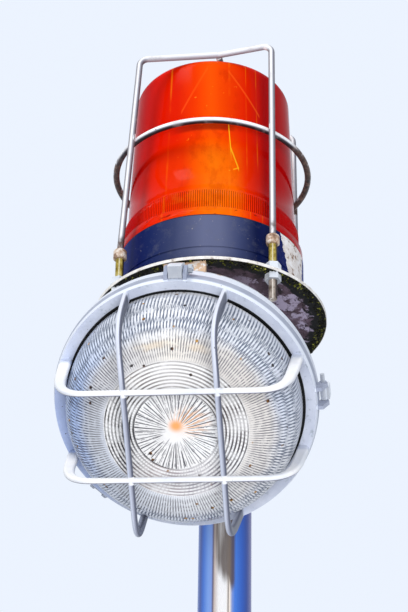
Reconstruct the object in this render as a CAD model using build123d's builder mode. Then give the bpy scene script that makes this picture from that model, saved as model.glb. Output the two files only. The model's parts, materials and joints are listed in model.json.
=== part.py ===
from build123d import *
import math
import os

# Warning light pole: a stainless post with a rotating warning beacon on a round plate
# and a round caged lamp hung below the plate's front rim.
# Millimetres, +Z up, origin on the post's axis at the underside of its base flange.
# The lamp looks towards -Y and down.

# Base flange and post
flange_radius = 85.0
flange_thickness = 10.0
flange_bolt_circle = 65.0
flange_bolt_hole_radius = 7.0
flange_bolt_count = 4
post_radius = 24.15
post_wall = 2.0
post_weld_leg = 6.0

# Round plate on top of the post
plate_underside = 2667.5
plate_radius = 108.0
plate_thickness = 3.0

# Strap and disc that carry the lamp
strap_width = 38.0
strap_thickness = 5.0
strap_offset = -3.0
strap_set_back = 3.5
strap_foot_length = 62.0
strap_bend_radius = 9.0
disc_overhang = 3.0
disc_thickness = 2.0
strap_bolt_radius = 3.0
strap_bolt_spacing = 26.0
strap_bolt_shift = 2.0
strap_bolt_head_width = 10.0
strap_bolt_head_height = 4.0

# Lamp: where its parting plane lies under the plate, how far it looks down and how it is turned
lamp_ahead = 98.9
lamp_below = 138.6
lamp_tilt = 52.5
lamp_twist = 4.0

# Lamp frame: one casting of rim, crossed bars and ears
rim_radius = 113.7
rim_height = 13.0
rim_wall = 4.4
rim_straight = 6.0
rim_bevel = 1.7
rim_width = 10.9
rim_inner_height = 8.0
parting_gap = 0.3

# Lamp housing, a little smaller than the rim, and its gasket
housing_set_in = 0.7
housing_depth = 26.0
housing_wall = 3.0
housing_taper = 8.5
housing_rim_height = 8.0
housing_lip = 4.5
gasket_thickness = 2.0
gasket_width = 6.0

# Bars of the lamp frame: a thin straight run, a wide bend and deep legs down to the rim
bar_spacing = 39.0
bar_root_spread = 2.9
bar_height = 78.2
bar_width = 5.0
bar_depth = 5.2
bar_corner = 2.4
bar_root_set_in = 9.4
bar_root_width = 10.5
bar_leg_lean = 1.7
bar_bend_height = 39.0
bar_bend_width = 10.4
bar_bend_length = 31.6

# Pressed glass of the lamp
glass_flange_clearance = 0.7
glass_flange_thickness = 4.3
glass_seal_width = 2.2
glass_seal_set_back = 1.0
glass_taper = 1.4
glass_shoulder_height = 38.0
glass_apex = 50.0
glass_corner = 7.0
glass_wall = 4.5
glass_bore_corner = 4.0

# Reflector, holder and bulb in the lamp
dish_clearance = 4.5
dish_flare = 25.0
dish_height = 16.0
dish_thickness = 1.0
socket_radius = 19.0
socket_length = 38.0
socket_axis_height = 14.0
socket_foot_width = 24.0
socket_foot_corner = 3.0
bulb_neck_radius = 13.0
bulb_neck_length = 4.0
bulb_radius = 27.0
bulb_length = 96.0

# Fits of pins and threads
pin_radius = 1.9
pin_clearance = 0.1
pin_end = 1.2
thread_clearance = 0.05

# Hinge at the lower left, by its angle clockwise from the top
hinge_angle = 225.0
hinge_offset = 4.0
hinge_height = -6.0
hinge_round = 3.6
hinge_gap = 9.0
hinge_ear_thickness = 4.0
hinge_ear_back = (7.6, -2.0)
hinge_ear_front = (2.0, 5.0)
knuckle_root = 2.0

# Latches at the top and right: two ears, a folded clip and a bolt with its nut
top_latch_angle = 0.4
side_latch_angle = 88.2
latch_offset = 4.0
latch_height = -1.5
latch_round = 3.4
latch_gap = 13.0
latch_ear_thickness = 3.3
latch_ear_back = (8.4, 2.0)
latch_ear_front = (3.8, 12.4)
clip_width = 11.6
clip_eye_radius = 3.0
clip_front = 12.0
clip_reach = 11.0
clip_fold = 7.0
clip_back = 9.0
open_clip_inner = 3.6
open_clip_outer = 8.9
latch_nut_width = 7.0
latch_nut_height = 3.2
top_bolt_tail = 4.2
side_bolt_tail = 7.2

# Beacon: heights over the plate's underside
beacon_radius = 87.0
beacon_top = 62.5
beacon_groove_height = 27.5
beacon_groove_depth = 0.8
beacon_groove_width = 1.6
seal_thickness = 1.2
seal_width = 7.0
lens_foot_radius = 86.5
lens_foot_height = 9.0
lens_band_radius = 83.0
lens_band_top = 94.5
lens_band_step = 3.0
lens_waist_radius = 79.8
lens_top_radius = 74.5
lens_top = 258.0
lens_edge_radius = 11.0
lens_wall = 2.6
lens_crown = 0.5
hub_radius = 17.0
hub_height = 9.0
rotor_clearance = 0.2
rotor_lift = 4.0
turntable_radius = 62.0
turntable_thickness = 3.0
mirror_focus = 30.0
mirror_radius = 41.0
mirror_thickness = 1.2
mirror_height = 113.5
mirror_heading = 205.0
mirror_foot_width = 30.0
mirror_foot_thickness = 1.5
beacon_socket_radius = 11.0
beacon_socket_height = 26.0
beacon_bulb_radius = 9.5
beacon_bulb_height = 46.0

# Wire guard round the beacon, its legs leaning in a little towards the top
leg_circle = 100.0
wire_radius = 3.0
hoop_clearance = 0.5
hoop_bend_radius = 8.0
leg_straight = 2.0
guard_ring_height = 166.5
ring_lean = 1.5
rear_corner_inset = 1.7

# Bends of the front hoop, each measured from a square hoop: to the right, back and up
left_corner_shift = (14.7, -10.3, -4.0)
kink_shift = (18.4, 1.0, 0.0)
right_corner_shift = (-0.5, 0.9, 4.5)

# Collars, studs, nuts and washers of the guard's legs
collar_radius = 6.2
collar_bottom = 32.7
collar_height = 10.0
collar_edge_radius = 1.8
stud_count = 4
stud_radius = 4.0
stud_hole_clearance = 0.5
stud_tail = 26.0
nut_width = 13.0
nut_height = 6.5
washer_radius = 8.0
washer_thickness = 1.6

# Places worked out from the sizes above
plate_centre_y = post_radius - plate_radius
plate_top = plate_thickness
head = (0, plate_centre_y, plate_underside)
leg_reach = leg_circle * math.cos(math.radians(45))


def turned(plane, angle):
    """The plane turned about its own normal, anticlockwise as seen from in front."""
    return Plane(plane.location * Rotation(0, 0, angle))


lamp_square = Plane(
    origin=(0, plate_centre_y - lamp_ahead, plate_underside - lamp_below),
    x_dir=(1, 0, 0),
    z_dir=(0, -math.cos(math.radians(lamp_tilt)), -math.sin(math.radians(lamp_tilt))),
)
lamp_face = turned(lamp_square, -lamp_twist)
lamp_section = Plane(
    origin=lamp_face.origin, x_dir=lamp_face.x_dir, z_dir=-lamp_face.y_dir
)
lamp_axis = Axis(lamp_face.origin, lamp_face.z_dir)
beacon_section = Plane(origin=head, x_dir=(1, 0, 0), z_dir=(0, -1, 0))
beacon_axis = Axis(head, (0, 0, 1))
disc_back = -housing_depth - disc_thickness
shoulder_height = glass_flange_thickness + parting_gap
rim_edge_radius = rim_radius - rim_bevel
rim_opening_radius = rim_radius - rim_width
housing_radius = rim_radius - housing_set_in
housing_base_radius = housing_radius - housing_taper
disc_radius = housing_base_radius + disc_overhang
glass_flange_radius = rim_radius - rim_wall - glass_flange_clearance
glass_radius = rim_opening_radius - glass_seal_width
glass_shoulder_radius = glass_radius - glass_taper
dish_rim_radius = housing_base_radius - housing_wall - dish_clearance
dish_floor_radius = dish_rim_radius - dish_flare
hinge_place = (rim_radius + hinge_offset, hinge_height)
latch_place = (rim_radius + latch_offset, latch_height)


def level(height):
    """The level plane at a height over the plate's underside, centred on the beacon."""
    return Plane(origin=(0, plate_centre_y, plate_underside + height))


def lamp_level(height):
    """The plane square to the lamp's axis, a height in front of its parting plane."""
    return Plane(
        origin=lamp_face.from_local_coords((0, 0, height)),
        x_dir=lamp_face.x_dir,
        z_dir=lamp_face.z_dir,
    )


def lug_plane(angle):
    """A plane through the lamp's axis: x runs outwards at the angle, y ahead, z along the rim."""
    face = turned(lamp_face, -angle)
    return Plane(origin=face.origin, x_dir=face.y_dir, z_dir=face.x_dir)


def finish(part, name):
    """Label a piece and write it to its own file."""
    part.label = name
    export_step(part, "parts/" + name + ".step")


os.makedirs("parts", exist_ok=True)

# Base flange with its bolt holes and the weld bead round the post
with BuildPart() as base_flange:
    with BuildSketch():
        Circle(flange_radius)
        with PolarLocations(flange_bolt_circle, flange_bolt_count, start_angle=45):
            Circle(flange_bolt_hole_radius, mode=Mode.SUBTRACT)
    extrude(amount=flange_thickness)
    with BuildSketch(Plane.XZ):
        with BuildLine():
            Polyline(
                (post_radius, flange_thickness),
                (post_radius + post_weld_leg, flange_thickness),
                (post_radius, flange_thickness + post_weld_leg),
                close=True,
            )
        make_face()
    revolve(axis=Axis.Z)
finish(base_flange.part, "base_flange")

# Post tube, from the flange to the plate
with BuildPart() as post_tube:
    with BuildSketch(Plane.XY.offset(flange_thickness)):
        Circle(post_radius)
        Circle(post_radius - post_wall, mode=Mode.SUBTRACT)
    extrude(amount=plate_underside - flange_thickness)
finish(post_tube.part, "post_tube")

# Round plate with its four stud holes
with BuildPart() as top_plate:
    with BuildSketch(level(0)):
        Circle(plate_radius)
        with PolarLocations(leg_circle, stud_count, start_angle=45):
            Circle(stud_radius + stud_hole_clearance, mode=Mode.SUBTRACT)
    extrude(amount=plate_thickness)
finish(top_plate.part, "top_plate")

# Strap that hangs from the plate's front rim and turns under the lamp's disc
strap_y = plate_centre_y - plate_radius + strap_set_back + strap_thickness / 2
strap_plane = Plane(origin=(strap_offset, 0, 0), x_dir=(0, 1, 0), z_dir=(1, 0, 0))
foot_point = lamp_square.from_local_coords((0, 0, disc_back - strap_thickness / 2))
tilt = math.radians(lamp_tilt)
foot_direction = (math.sin(tilt), -math.cos(tilt))
corner_shift = (strap_y - foot_point.Y) / foot_direction[0]
strap_corner = (strap_y, foot_point.Z + corner_shift * foot_direction[1])
strap_end = (
    strap_corner[0] + strap_foot_length * foot_direction[0],
    strap_corner[1] + strap_foot_length * foot_direction[1],
)
first_bolt = corner_shift + strap_foot_length / 2 + strap_bolt_shift - strap_bolt_spacing / 2
bolt_places = [(strap_offset, -first_bolt - row * strap_bolt_spacing) for row in range(2)]
strap_start = Plane(
    origin=(strap_offset, strap_y, plate_underside), x_dir=(1, 0, 0), z_dir=(0, 0, -1)
)
with BuildPart() as hanger_strap:
    with BuildLine(strap_plane) as strap_path:
        FilletPolyline(
            (strap_y, plate_underside),
            strap_corner,
            strap_end,
            radius=strap_bend_radius,
        )
    with BuildSketch(strap_start):
        Rectangle(strap_width, strap_thickness)
    sweep(path=strap_path.wires()[0])
    with BuildSketch(lamp_square.offset(disc_back)):
        with Locations(*bolt_places):
            Circle(strap_bolt_radius + thread_clearance)
    extrude(amount=strap_thickness, both=True, mode=Mode.SUBTRACT)
finish(hanger_strap.part, "hanger_strap")

# Sheet disc behind the lamp
with BuildPart() as lamp_disc:
    with BuildSketch(lamp_level(disc_back)):
        Circle(disc_radius)
    extrude(amount=disc_thickness)
    with BuildSketch(lamp_square.offset(disc_back)):
        with Locations(*bolt_places):
            Circle(strap_bolt_radius + thread_clearance)
    extrude(amount=disc_thickness, mode=Mode.SUBTRACT)
finish(lamp_disc.part, "lamp_disc")

# Bolts that hold the disc and the housing to the strap
with BuildPart() as strap_bolts:
    with BuildSketch(lamp_square.offset(disc_back - strap_thickness)):
        with Locations(*bolt_places):
            RegularPolygon(strap_bolt_head_width / 2, 6, major_radius=False)
    extrude(amount=-strap_bolt_head_height)
    with BuildSketch(lamp_square.offset(disc_back - strap_thickness)):
        with Locations(*bolt_places):
            Circle(strap_bolt_radius)
    extrude(amount=strap_thickness + disc_thickness)
finish(strap_bolts.part, "strap_bolts")

# Lamp housing: a shallow cast bowl with a raised outer lip and the hinge knuckle
gasket_outer = housing_radius - housing_lip
lip_height = -parting_gap
rim_floor = -parting_gap - gasket_thickness
with BuildPart() as lamp_housing:
    with BuildSketch(lamp_section):
        with BuildLine():
            Polyline(
                (0, -housing_depth),
                (housing_base_radius, -housing_depth),
                (housing_radius, -housing_rim_height - housing_wall),
                (housing_radius, lip_height),
                (gasket_outer, lip_height),
                (gasket_outer, rim_floor),
                (gasket_outer - gasket_width, rim_floor),
                (housing_base_radius - housing_wall, -housing_depth + housing_wall),
                (0, -housing_depth + housing_wall),
                close=True,
            )
        make_face()
    revolve(axis=lamp_axis)
    with BuildSketch(lug_plane(hinge_angle)):
        with Locations(hinge_place):
            Circle(hinge_round)
        with BuildLine():
            Polyline(
                (housing_radius - knuckle_root, hinge_height - hinge_round),
                (hinge_place[0], hinge_height - hinge_round),
                hinge_place,
                (housing_radius - knuckle_root, hinge_height),
                close=True,
            )
        make_face()
    extrude(amount=hinge_gap / 2 - parting_gap, both=True)
    with BuildSketch(lug_plane(hinge_angle)):
        with Locations(hinge_place):
            Circle(pin_radius + thread_clearance)
    extrude(amount=hinge_gap, both=True, mode=Mode.SUBTRACT)
finish(lamp_housing.part, "lamp_housing")

# Flat rubber ring in the housing's rim
with BuildPart() as lamp_gasket:
    with BuildSketch(lamp_level(rim_floor)):
        Circle(gasket_outer)
        Circle(gasket_outer - gasket_width, mode=Mode.SUBTRACT)
    extrude(amount=gasket_thickness)
finish(lamp_gasket.part, "lamp_gasket")

# White dished reflector on the housing's floor
dish_floor = -housing_depth + housing_wall
with BuildPart() as lamp_reflector:
    with BuildSketch(lamp_section):
        with BuildLine():
            Polyline(
                (0, dish_floor),
                (dish_floor_radius, dish_floor),
                (dish_rim_radius, dish_floor + dish_height),
                (dish_rim_radius, dish_floor + dish_height + dish_thickness),
                (dish_floor_radius, dish_floor + dish_thickness),
                (0, dish_floor + dish_thickness),
                close=True,
            )
        make_face()
    revolve(axis=lamp_axis)
finish(lamp_reflector.part, "lamp_reflector")

# Porcelain lamp holder lying on the reflector, with its foot
socket_floor = dish_floor + dish_thickness
socket_start = -bulb_length / 2 - socket_length / 2
socket_plane = Plane(
    origin=lamp_face.from_local_coords((socket_start, 0, socket_axis_height)),
    x_dir=lamp_face.y_dir,
    z_dir=lamp_face.x_dir,
)
with BuildPart() as lamp_holder:
    with BuildSketch(socket_plane):
        Circle(socket_radius)
    extrude(amount=socket_length)
    with BuildSketch(lamp_level(socket_floor)):
        with Locations((socket_start + socket_length / 2, 0)):
            RectangleRounded(socket_length, socket_foot_width, socket_foot_corner)
    extrude(amount=socket_axis_height - socket_floor)
    with BuildSketch(socket_plane.offset(socket_length)):
        Circle(bulb_neck_radius + pin_clearance)
    extrude(amount=-socket_length / 2, mode=Mode.SUBTRACT)
finish(lamp_holder.part, "lamp_holder")

# Bulb: threaded cap in the holder, neck and round envelope
bulb_start = socket_start + socket_length / 2
bulb_section = Plane(
    origin=lamp_face.from_local_coords((0, 0, socket_axis_height)),
    x_dir=lamp_face.x_dir,
    z_dir=lamp_face.z_dir,
)
bulb_axis = Axis(bulb_section.origin, bulb_section.x_dir)
neck_end = bulb_start + socket_length / 2 + bulb_neck_length
envelope_centre = bulb_start + bulb_length - bulb_radius
with BuildPart() as lamp_bulb:
    with BuildSketch(bulb_section):
        with BuildLine():
            Polyline(
                (neck_end, bulb_neck_radius),
                (bulb_start, bulb_neck_radius),
                (bulb_start, 0),
                (envelope_centre + bulb_radius, 0),
            )
            CenterArc((envelope_centre, 0), bulb_radius, 0, 90)
            Spline(
                (envelope_centre, bulb_radius),
                (neck_end, bulb_neck_radius),
                tangents=((-1, 0), (-1, -0.15)),
            )
        make_face()
    revolve(axis=bulb_axis)
finish(lamp_bulb.part, "lamp_bulb")

# Hinge pin, held in the housing's knuckle
with BuildPart() as hinge_pin:
    with BuildSketch(lug_plane(hinge_angle)):
        with Locations(hinge_place):
            Circle(pin_radius)
    extrude(amount=hinge_gap / 2 + hinge_ear_thickness + pin_end, both=True)
finish(hinge_pin.part, "hinge_pin")

# One bar of the lamp frame, drawn in its own plane: x along the run, y up from the rim
bar_root = lamp_face.from_local_coords((0, bar_spacing + bar_root_spread, rim_inner_height))
bar_crest = lamp_face.from_local_coords((0, bar_spacing, bar_height))
bar_upright = (bar_crest - bar_root).normalized()
bar_rise = (bar_crest - bar_root).length
bar_plane = Plane(
    origin=bar_root, x_dir=lamp_face.x_dir, z_dir=lamp_face.x_dir.cross(bar_upright)
)
bar_bend = bar_bend_height - rim_inner_height
root_outside = rim_radius - bar_root_set_in
root_inside = root_outside - bar_root_width
bend_outside = root_outside - bar_leg_lean
bend_inside = bend_outside - bar_bend_width
run_end = bend_outside - bar_bend_length
bar_sides = (
    (root_outside, bend_outside, bar_rise + bar_depth / 2),
    (root_inside, bend_inside, bar_rise - bar_depth / 2),
)
with BuildPart() as bar:
    with BuildSketch(bar_plane):
        with BuildLine():
            for root_x, bend_x, run_y in bar_sides:
                for hand in (-1, 1):
                    Line((hand * root_x, 0), (hand * bend_x, bar_bend))
                    Spline(
                        (hand * bend_x, bar_bend),
                        (hand * run_end, run_y),
                        tangents=((hand * (bend_x - root_x), bar_bend), (-hand, 0)),
                    )
                Line((-run_end, run_y), (run_end, run_y))
            for hand in (-1, 1):
                Line((hand * root_inside, 0), (hand * root_outside, 0))
        make_face()
    extrude(amount=bar_width / 2, both=True)
    side_edges = bar.faces().filter_by(bar_plane).edges()
    fillet(
        [e for e in side_edges if bar_plane.to_local_coords(e.center()).Y > bar_corner],
        bar_corner,
    )

# Lamp frame: rim, two pairs of crossed bars, and ears for the hinge and the latches
with BuildPart() as lamp_frame:
    with BuildSketch(lamp_section):
        with BuildLine():
            Polyline(
                (rim_radius - rim_wall, 0),
                (rim_radius, 0),
                (rim_radius, rim_straight),
                (rim_edge_radius, rim_height),
                (rim_opening_radius, rim_inner_height),
                (rim_opening_radius, shoulder_height),
                (rim_radius - rim_wall, shoulder_height),
                close=True,
            )
        make_face()
    revolve(axis=lamp_axis)
    for turn in range(4):
        add(bar.part.rotate(lamp_axis, 90 * turn))
    hinge_ears = (hinge_place, hinge_round, hinge_gap, hinge_ear_thickness)
    latch_ears = (latch_place, latch_round, latch_gap, latch_ear_thickness)
    ears = {
        hinge_angle: (*hinge_ears, hinge_ear_back, hinge_ear_front),
        top_latch_angle: (*latch_ears, latch_ear_back, latch_ear_front),
        side_latch_angle: (*latch_ears, latch_ear_back, latch_ear_front),
    }
    for angle, (place, eye, gap, thickness, back, front) in ears.items():
        for hand in (-1, 1):
            with BuildSketch(lug_plane(angle).offset(hand * gap / 2)):
                with BuildLine():
                    Polyline(
                        (rim_radius - rim_wall / 2, 0),
                        (rim_radius, 0),
                        (place[0] - eye, place[1]),
                        (place[0] + eye, place[1]),
                        (rim_radius + back[0], back[1]),
                        (rim_radius + front[0], front[1]),
                        (rim_edge_radius, front[1]),
                        close=True,
                    )
                make_face()
                with Locations(place):
                    Circle(eye)
            extrude(amount=hand * thickness)
        with BuildSketch(lug_plane(angle)):
            with Locations(place):
                Circle(pin_radius + pin_clearance)
        extrude(amount=gap / 2 + 2 * thickness, both=True, mode=Mode.SUBTRACT)
finish(lamp_frame.part, "lamp_frame")

# Pressed glass with a flat flange, straight flank, shoulder and low crown
crown = glass_apex - glass_shoulder_height
crown_radius = (glass_shoulder_radius**2 + crown**2) / (2 * crown)
bore_shoulder = glass_shoulder_radius - glass_wall
bore_height = glass_shoulder_height - glass_wall
bore_crown = glass_apex - glass_wall - bore_height
bore_crown_radius = (bore_shoulder**2 + bore_crown**2) / (2 * bore_crown)
with BuildPart() as lamp_glass:
    with BuildSketch(lamp_section):
        with BuildLine():
            Polyline(
                (glass_radius - glass_wall, 0),
                (glass_flange_radius, 0),
                (glass_flange_radius, glass_flange_thickness),
                (glass_radius, glass_flange_thickness),
                (glass_shoulder_radius, glass_shoulder_height),
            )
            crown_angle = math.degrees(math.asin(glass_shoulder_radius / crown_radius))
            CenterArc((0, glass_apex - crown_radius), crown_radius, 90 - crown_angle, crown_angle)
            Line((0, glass_apex), (0, glass_apex - glass_wall))
            bore_angle = math.degrees(math.asin(bore_shoulder / bore_crown_radius))
            CenterArc(
                (0, glass_apex - glass_wall - bore_crown_radius),
                bore_crown_radius,
                90 - bore_angle,
                bore_angle,
            )
            Line((bore_shoulder, bore_height), (glass_radius - glass_wall, 0))
        make_face()
    revolve(axis=lamp_axis)
    shoulder_edges = lamp_glass.edges().filter_by(GeomType.CIRCLE)
    fillet([e for e in shoulder_edges if abs(e.radius - glass_shoulder_radius) < 0.01], glass_corner)
    shoulder_edges = lamp_glass.edges().filter_by(GeomType.CIRCLE)
    fillet([e for e in shoulder_edges if abs(e.radius - bore_shoulder) < 0.01], glass_bore_corner)
finish(lamp_glass.part, "lamp_glass")

# Black seal between the rim's opening and the glass
with BuildPart() as glass_seal:
    with BuildSketch(lamp_level(glass_flange_thickness)):
        Circle(rim_opening_radius - pin_clearance)
        Circle(glass_radius + pin_clearance, mode=Mode.SUBTRACT)
    extrude(amount=rim_inner_height - glass_seal_set_back - glass_flange_thickness)
finish(glass_seal.part, "glass_seal")

# Galvanised latch clips between the frame's ears: the top one shut, the side one swung back
shut_clip = (
    (rim_radius + parting_gap, -clip_back),
    (latch_place[0] + clip_eye_radius, -clip_back),
    (rim_radius + clip_reach, clip_front - clip_fold),
    (rim_radius + clip_reach, clip_front),
    (rim_radius + parting_gap, clip_front),
)
open_clip = (
    (rim_radius + open_clip_inner, latch_height),
    (rim_radius + open_clip_inner, -clip_reach),
    (rim_radius + open_clip_outer, -clip_reach),
    (rim_radius + open_clip_outer, 0),
    (latch_place[0], 0),
)
with BuildPart() as latch_clips:
    for angle, outline in ((top_latch_angle, shut_clip), (side_latch_angle, open_clip)):
        with BuildSketch(lug_plane(angle)):
            with BuildLine():
                Polyline(*outline, close=True)
            make_face()
            with Locations(latch_place):
                Circle(clip_eye_radius)
                Circle(pin_radius + thread_clearance, mode=Mode.SUBTRACT)
        extrude(amount=clip_width / 2, both=True)
finish(latch_clips.part, "latch_clips")

# Latch bolts through ears and clips; the top one ends at its right, the side one upwards with no nut
ear_outside = latch_gap / 2 + latch_ear_thickness
bolt_ends = {
    top_latch_angle: (-ear_outside - pin_end, ear_outside + top_bolt_tail),
    side_latch_angle: (-ear_outside - side_bolt_tail, ear_outside + pin_end),
}
with BuildPart() as latch_bolts:
    for angle, (start, end) in bolt_ends.items():
        with BuildSketch(lug_plane(angle).offset(start)):
            with Locations(latch_place):
                Circle(pin_radius)
        extrude(amount=end - start)
finish(latch_bolts.part, "latch_bolts")

# Hexagon nut against the top latch's right ear
with BuildPart() as latch_nuts:
    with BuildSketch(lug_plane(top_latch_angle).offset(ear_outside)):
        with Locations(latch_place):
            RegularPolygon(latch_nut_width / 2, 6, major_radius=False)
            Circle(pin_radius + thread_clearance, mode=Mode.SUBTRACT)
    extrude(amount=latch_nut_height)
finish(latch_nuts.part, "latch_nuts")

# Beacon base: closed plastic housing with a groove low down and the hub of the turntable
with BuildPart() as beacon_base:
    with BuildSketch(beacon_section):
        groove_low = beacon_groove_height - beacon_groove_width / 2
        groove_high = beacon_groove_height + beacon_groove_width / 2
        with BuildLine():
            Polyline(
                (0, plate_top),
                (beacon_radius, plate_top),
                (beacon_radius, groove_low),
                (beacon_radius - beacon_groove_depth, groove_low),
                (beacon_radius - beacon_groove_depth, groove_high),
                (beacon_radius, groove_high),
                (beacon_radius, beacon_top),
                (hub_radius, beacon_top),
                (hub_radius, beacon_top + hub_height),
                (0, beacon_top + hub_height),
                close=True,
            )
        make_face()
    revolve(axis=beacon_axis)
finish(beacon_base.part, "beacon_base")

# Rubber ring under the lens
with BuildPart() as beacon_seal:
    with BuildSketch(level(beacon_top)):
        Circle(lens_foot_radius)
        Circle(lens_foot_radius - seal_width, mode=Mode.SUBTRACT)
    extrude(amount=seal_thickness)
finish(beacon_seal.part, "beacon_seal")

# Red-orange lens: smooth foot, ribbed band, tapering wall and crowned top
lens_bottom = beacon_top + seal_thickness
foot_top = lens_bottom + lens_foot_height
with BuildPart() as beacon_lens:
    with BuildSketch(beacon_section):
        with BuildLine():
            Polyline(
                (lens_foot_radius - lens_wall, lens_bottom),
                (lens_foot_radius, lens_bottom),
                (lens_foot_radius, foot_top),
                (lens_band_radius, foot_top),
                (lens_band_radius, lens_band_top),
                (lens_waist_radius, lens_band_top + lens_band_step),
                (lens_top_radius, lens_top - lens_crown),
                (0, lens_top),
                (0, lens_top - lens_wall),
                (lens_top_radius - lens_wall, lens_top - lens_crown - lens_wall),
                (lens_waist_radius - lens_wall, lens_band_top + lens_band_step),
                (lens_band_radius - lens_wall, lens_band_top),
                (lens_band_radius - lens_wall, foot_top - lens_wall),
                (lens_foot_radius - lens_wall, foot_top - lens_wall),
                close=True,
            )
        make_face()
    revolve(axis=beacon_axis)
    rim_edges = beacon_lens.edges().filter_by(GeomType.CIRCLE)
    fillet([e for e in rim_edges if abs(e.radius - lens_top_radius) < 0.01], lens_edge_radius)
    rim_edges = beacon_lens.edges().filter_by(GeomType.CIRCLE)
    fillet([e for e in rim_edges if abs(e.radius - lens_top_radius + lens_wall) < 0.01],
           lens_edge_radius - lens_wall)
finish(beacon_lens.part, "beacon_lens")

# Beacon lamp socket on the hub and its bulb
socket_base = beacon_top + hub_height
with BuildPart() as beacon_socket:
    with BuildSketch(level(socket_base)):
        Circle(beacon_socket_radius)
    extrude(amount=beacon_socket_height)
finish(beacon_socket.part, "beacon_socket")
bulb_base = socket_base + beacon_socket_height
with BuildPart() as beacon_bulb:
    with BuildSketch(level(bulb_base)):
        Circle(beacon_bulb_radius)
    extrude(amount=beacon_bulb_height)
    fillet(beacon_bulb.edges().group_by(Axis.Z)[-1], beacon_bulb_radius - 0.5)
finish(beacon_bulb.part, "beacon_bulb")

# Turntable that runs round the hub
table_height = beacon_top + rotor_lift
with BuildPart() as rotor_turntable:
    with BuildSketch(level(table_height)):
        Circle(turntable_radius)
        Circle(hub_radius + rotor_clearance, mode=Mode.SUBTRACT)
    extrude(amount=turntable_thickness)
finish(rotor_turntable.part, "rotor_turntable")

# Curved mirror, its focus on the bulb, and the foot that holds it to the turntable
heading = math.radians(mirror_heading)
mirror_out = Vector(math.cos(heading), math.sin(heading), 0)
mirror_centre = Vector(0, plate_centre_y, plate_underside + mirror_height)
mirror_side = Vector(0, 0, 1).cross(mirror_out)
mirror_plane = Plane(origin=mirror_centre, x_dir=(0, 0, 1), z_dir=mirror_side)
mirror_axis = Axis(mirror_centre, mirror_out)
# In this plane x runs up and y runs along the mirror's heading
mirror_depth = mirror_radius**2 / (4 * mirror_focus)
with BuildPart() as rotor_mirror:
    with BuildSketch(mirror_plane):
        with BuildLine():
            ThreePointArc(
                (0, -mirror_focus),
                (mirror_radius / 2, -mirror_focus + mirror_depth / 4),
                (mirror_radius, -mirror_focus + mirror_depth),
            )
            Line(
                (mirror_radius, -mirror_focus + mirror_depth),
                (mirror_radius, -mirror_focus + mirror_depth - mirror_thickness),
            )
            ThreePointArc(
                (mirror_radius, -mirror_focus + mirror_depth - mirror_thickness),
                (mirror_radius / 2, -mirror_focus + mirror_depth / 4 - mirror_thickness),
                (0, -mirror_focus - mirror_thickness),
            )
            Line((0, -mirror_focus - mirror_thickness), (0, -mirror_focus))
        make_face()
    revolve(axis=mirror_axis)
    foot_back = mirror_focus + mirror_thickness / 2 + mirror_foot_thickness
    foot_plane = Plane(
        origin=mirror_centre - mirror_out * foot_back, x_dir=mirror_side, z_dir=mirror_out
    )
    foot_drop = mirror_height - table_height - turntable_thickness
    with BuildSketch(foot_plane):
        with Locations((0, -foot_drop / 2)):
            Rectangle(mirror_foot_width, foot_drop)
    extrude(amount=mirror_foot_thickness)
finish(rotor_mirror.part, "rotor_mirror")

# Wire hoops of the guard: the front one bent and kinked, the rear one square
hoop_foot = collar_bottom + collar_height / 2
leg_bend = collar_bottom + collar_height + leg_straight
wire_height = lens_top + hoop_clearance + wire_radius
left_foot = Vector(-leg_reach, -leg_reach, 0)
right_foot = Vector(leg_reach, -leg_reach, 0)
rear_corner = leg_reach - rear_corner_inset
hoop_bends = {
    "guard_front_hoop": (
        left_foot + Vector(0, 0, wire_height) + Vector(*left_corner_shift),
        Vector(0, -leg_reach, wire_height) + Vector(*kink_shift),
        right_foot + Vector(0, 0, wire_height) + Vector(*right_corner_shift),
    ),
    "guard_rear_hoop": (
        Vector(-rear_corner, rear_corner, wire_height),
        Vector(rear_corner, rear_corner, wire_height),
    ),
}
for hoop_name, bends in hoop_bends.items():
    feet = [Vector(math.copysign(leg_reach, b.X), math.copysign(leg_reach, b.Y), 0) for b in bends]
    with BuildPart() as guard_hoop:
        points = [
            feet[0] + Vector(0, 0, hoop_foot),
            feet[0] + Vector(0, 0, leg_bend),
            *bends,
            feet[-1] + Vector(0, 0, leg_bend),
            feet[-1] + Vector(0, 0, hoop_foot),
        ]
        with BuildLine() as hoop_path:
            FilletPolyline(*[Vector(*head) + p for p in points], radius=hoop_bend_radius)
        with BuildSketch(level(hoop_foot)):
            with Locations((feet[0].X, feet[0].Y)):
                Circle(wire_radius)
        sweep(path=hoop_path.wires()[0])
    finish(guard_hoop.part, hoop_name)

# Wire ring inside the legs
with BuildPart() as guard_ring:
    with BuildSketch(beacon_section):
        with Locations((leg_circle - ring_lean - 2 * wire_radius, guard_ring_height)):
            Circle(wire_radius)
    revolve(axis=beacon_axis)
finish(guard_ring.part, "guard_ring")

# Wire that runs back over the lens from the front hoop's kink to the rear hoop
top_wire_front = -leg_reach + kink_shift[1] + wire_radius
top_wire_back = rear_corner - wire_radius
top_wire_start = Plane(
    origin=level(wire_height).from_local_coords((kink_shift[0], top_wire_front, 0)),
    x_dir=(1, 0, 0),
    z_dir=(0, 1, 0),
)
with BuildPart() as guard_top_wire:
    with BuildSketch(top_wire_start):
        Circle(wire_radius)
    extrude(amount=top_wire_back - top_wire_front)
finish(guard_top_wire.part, "guard_top_wire")

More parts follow.
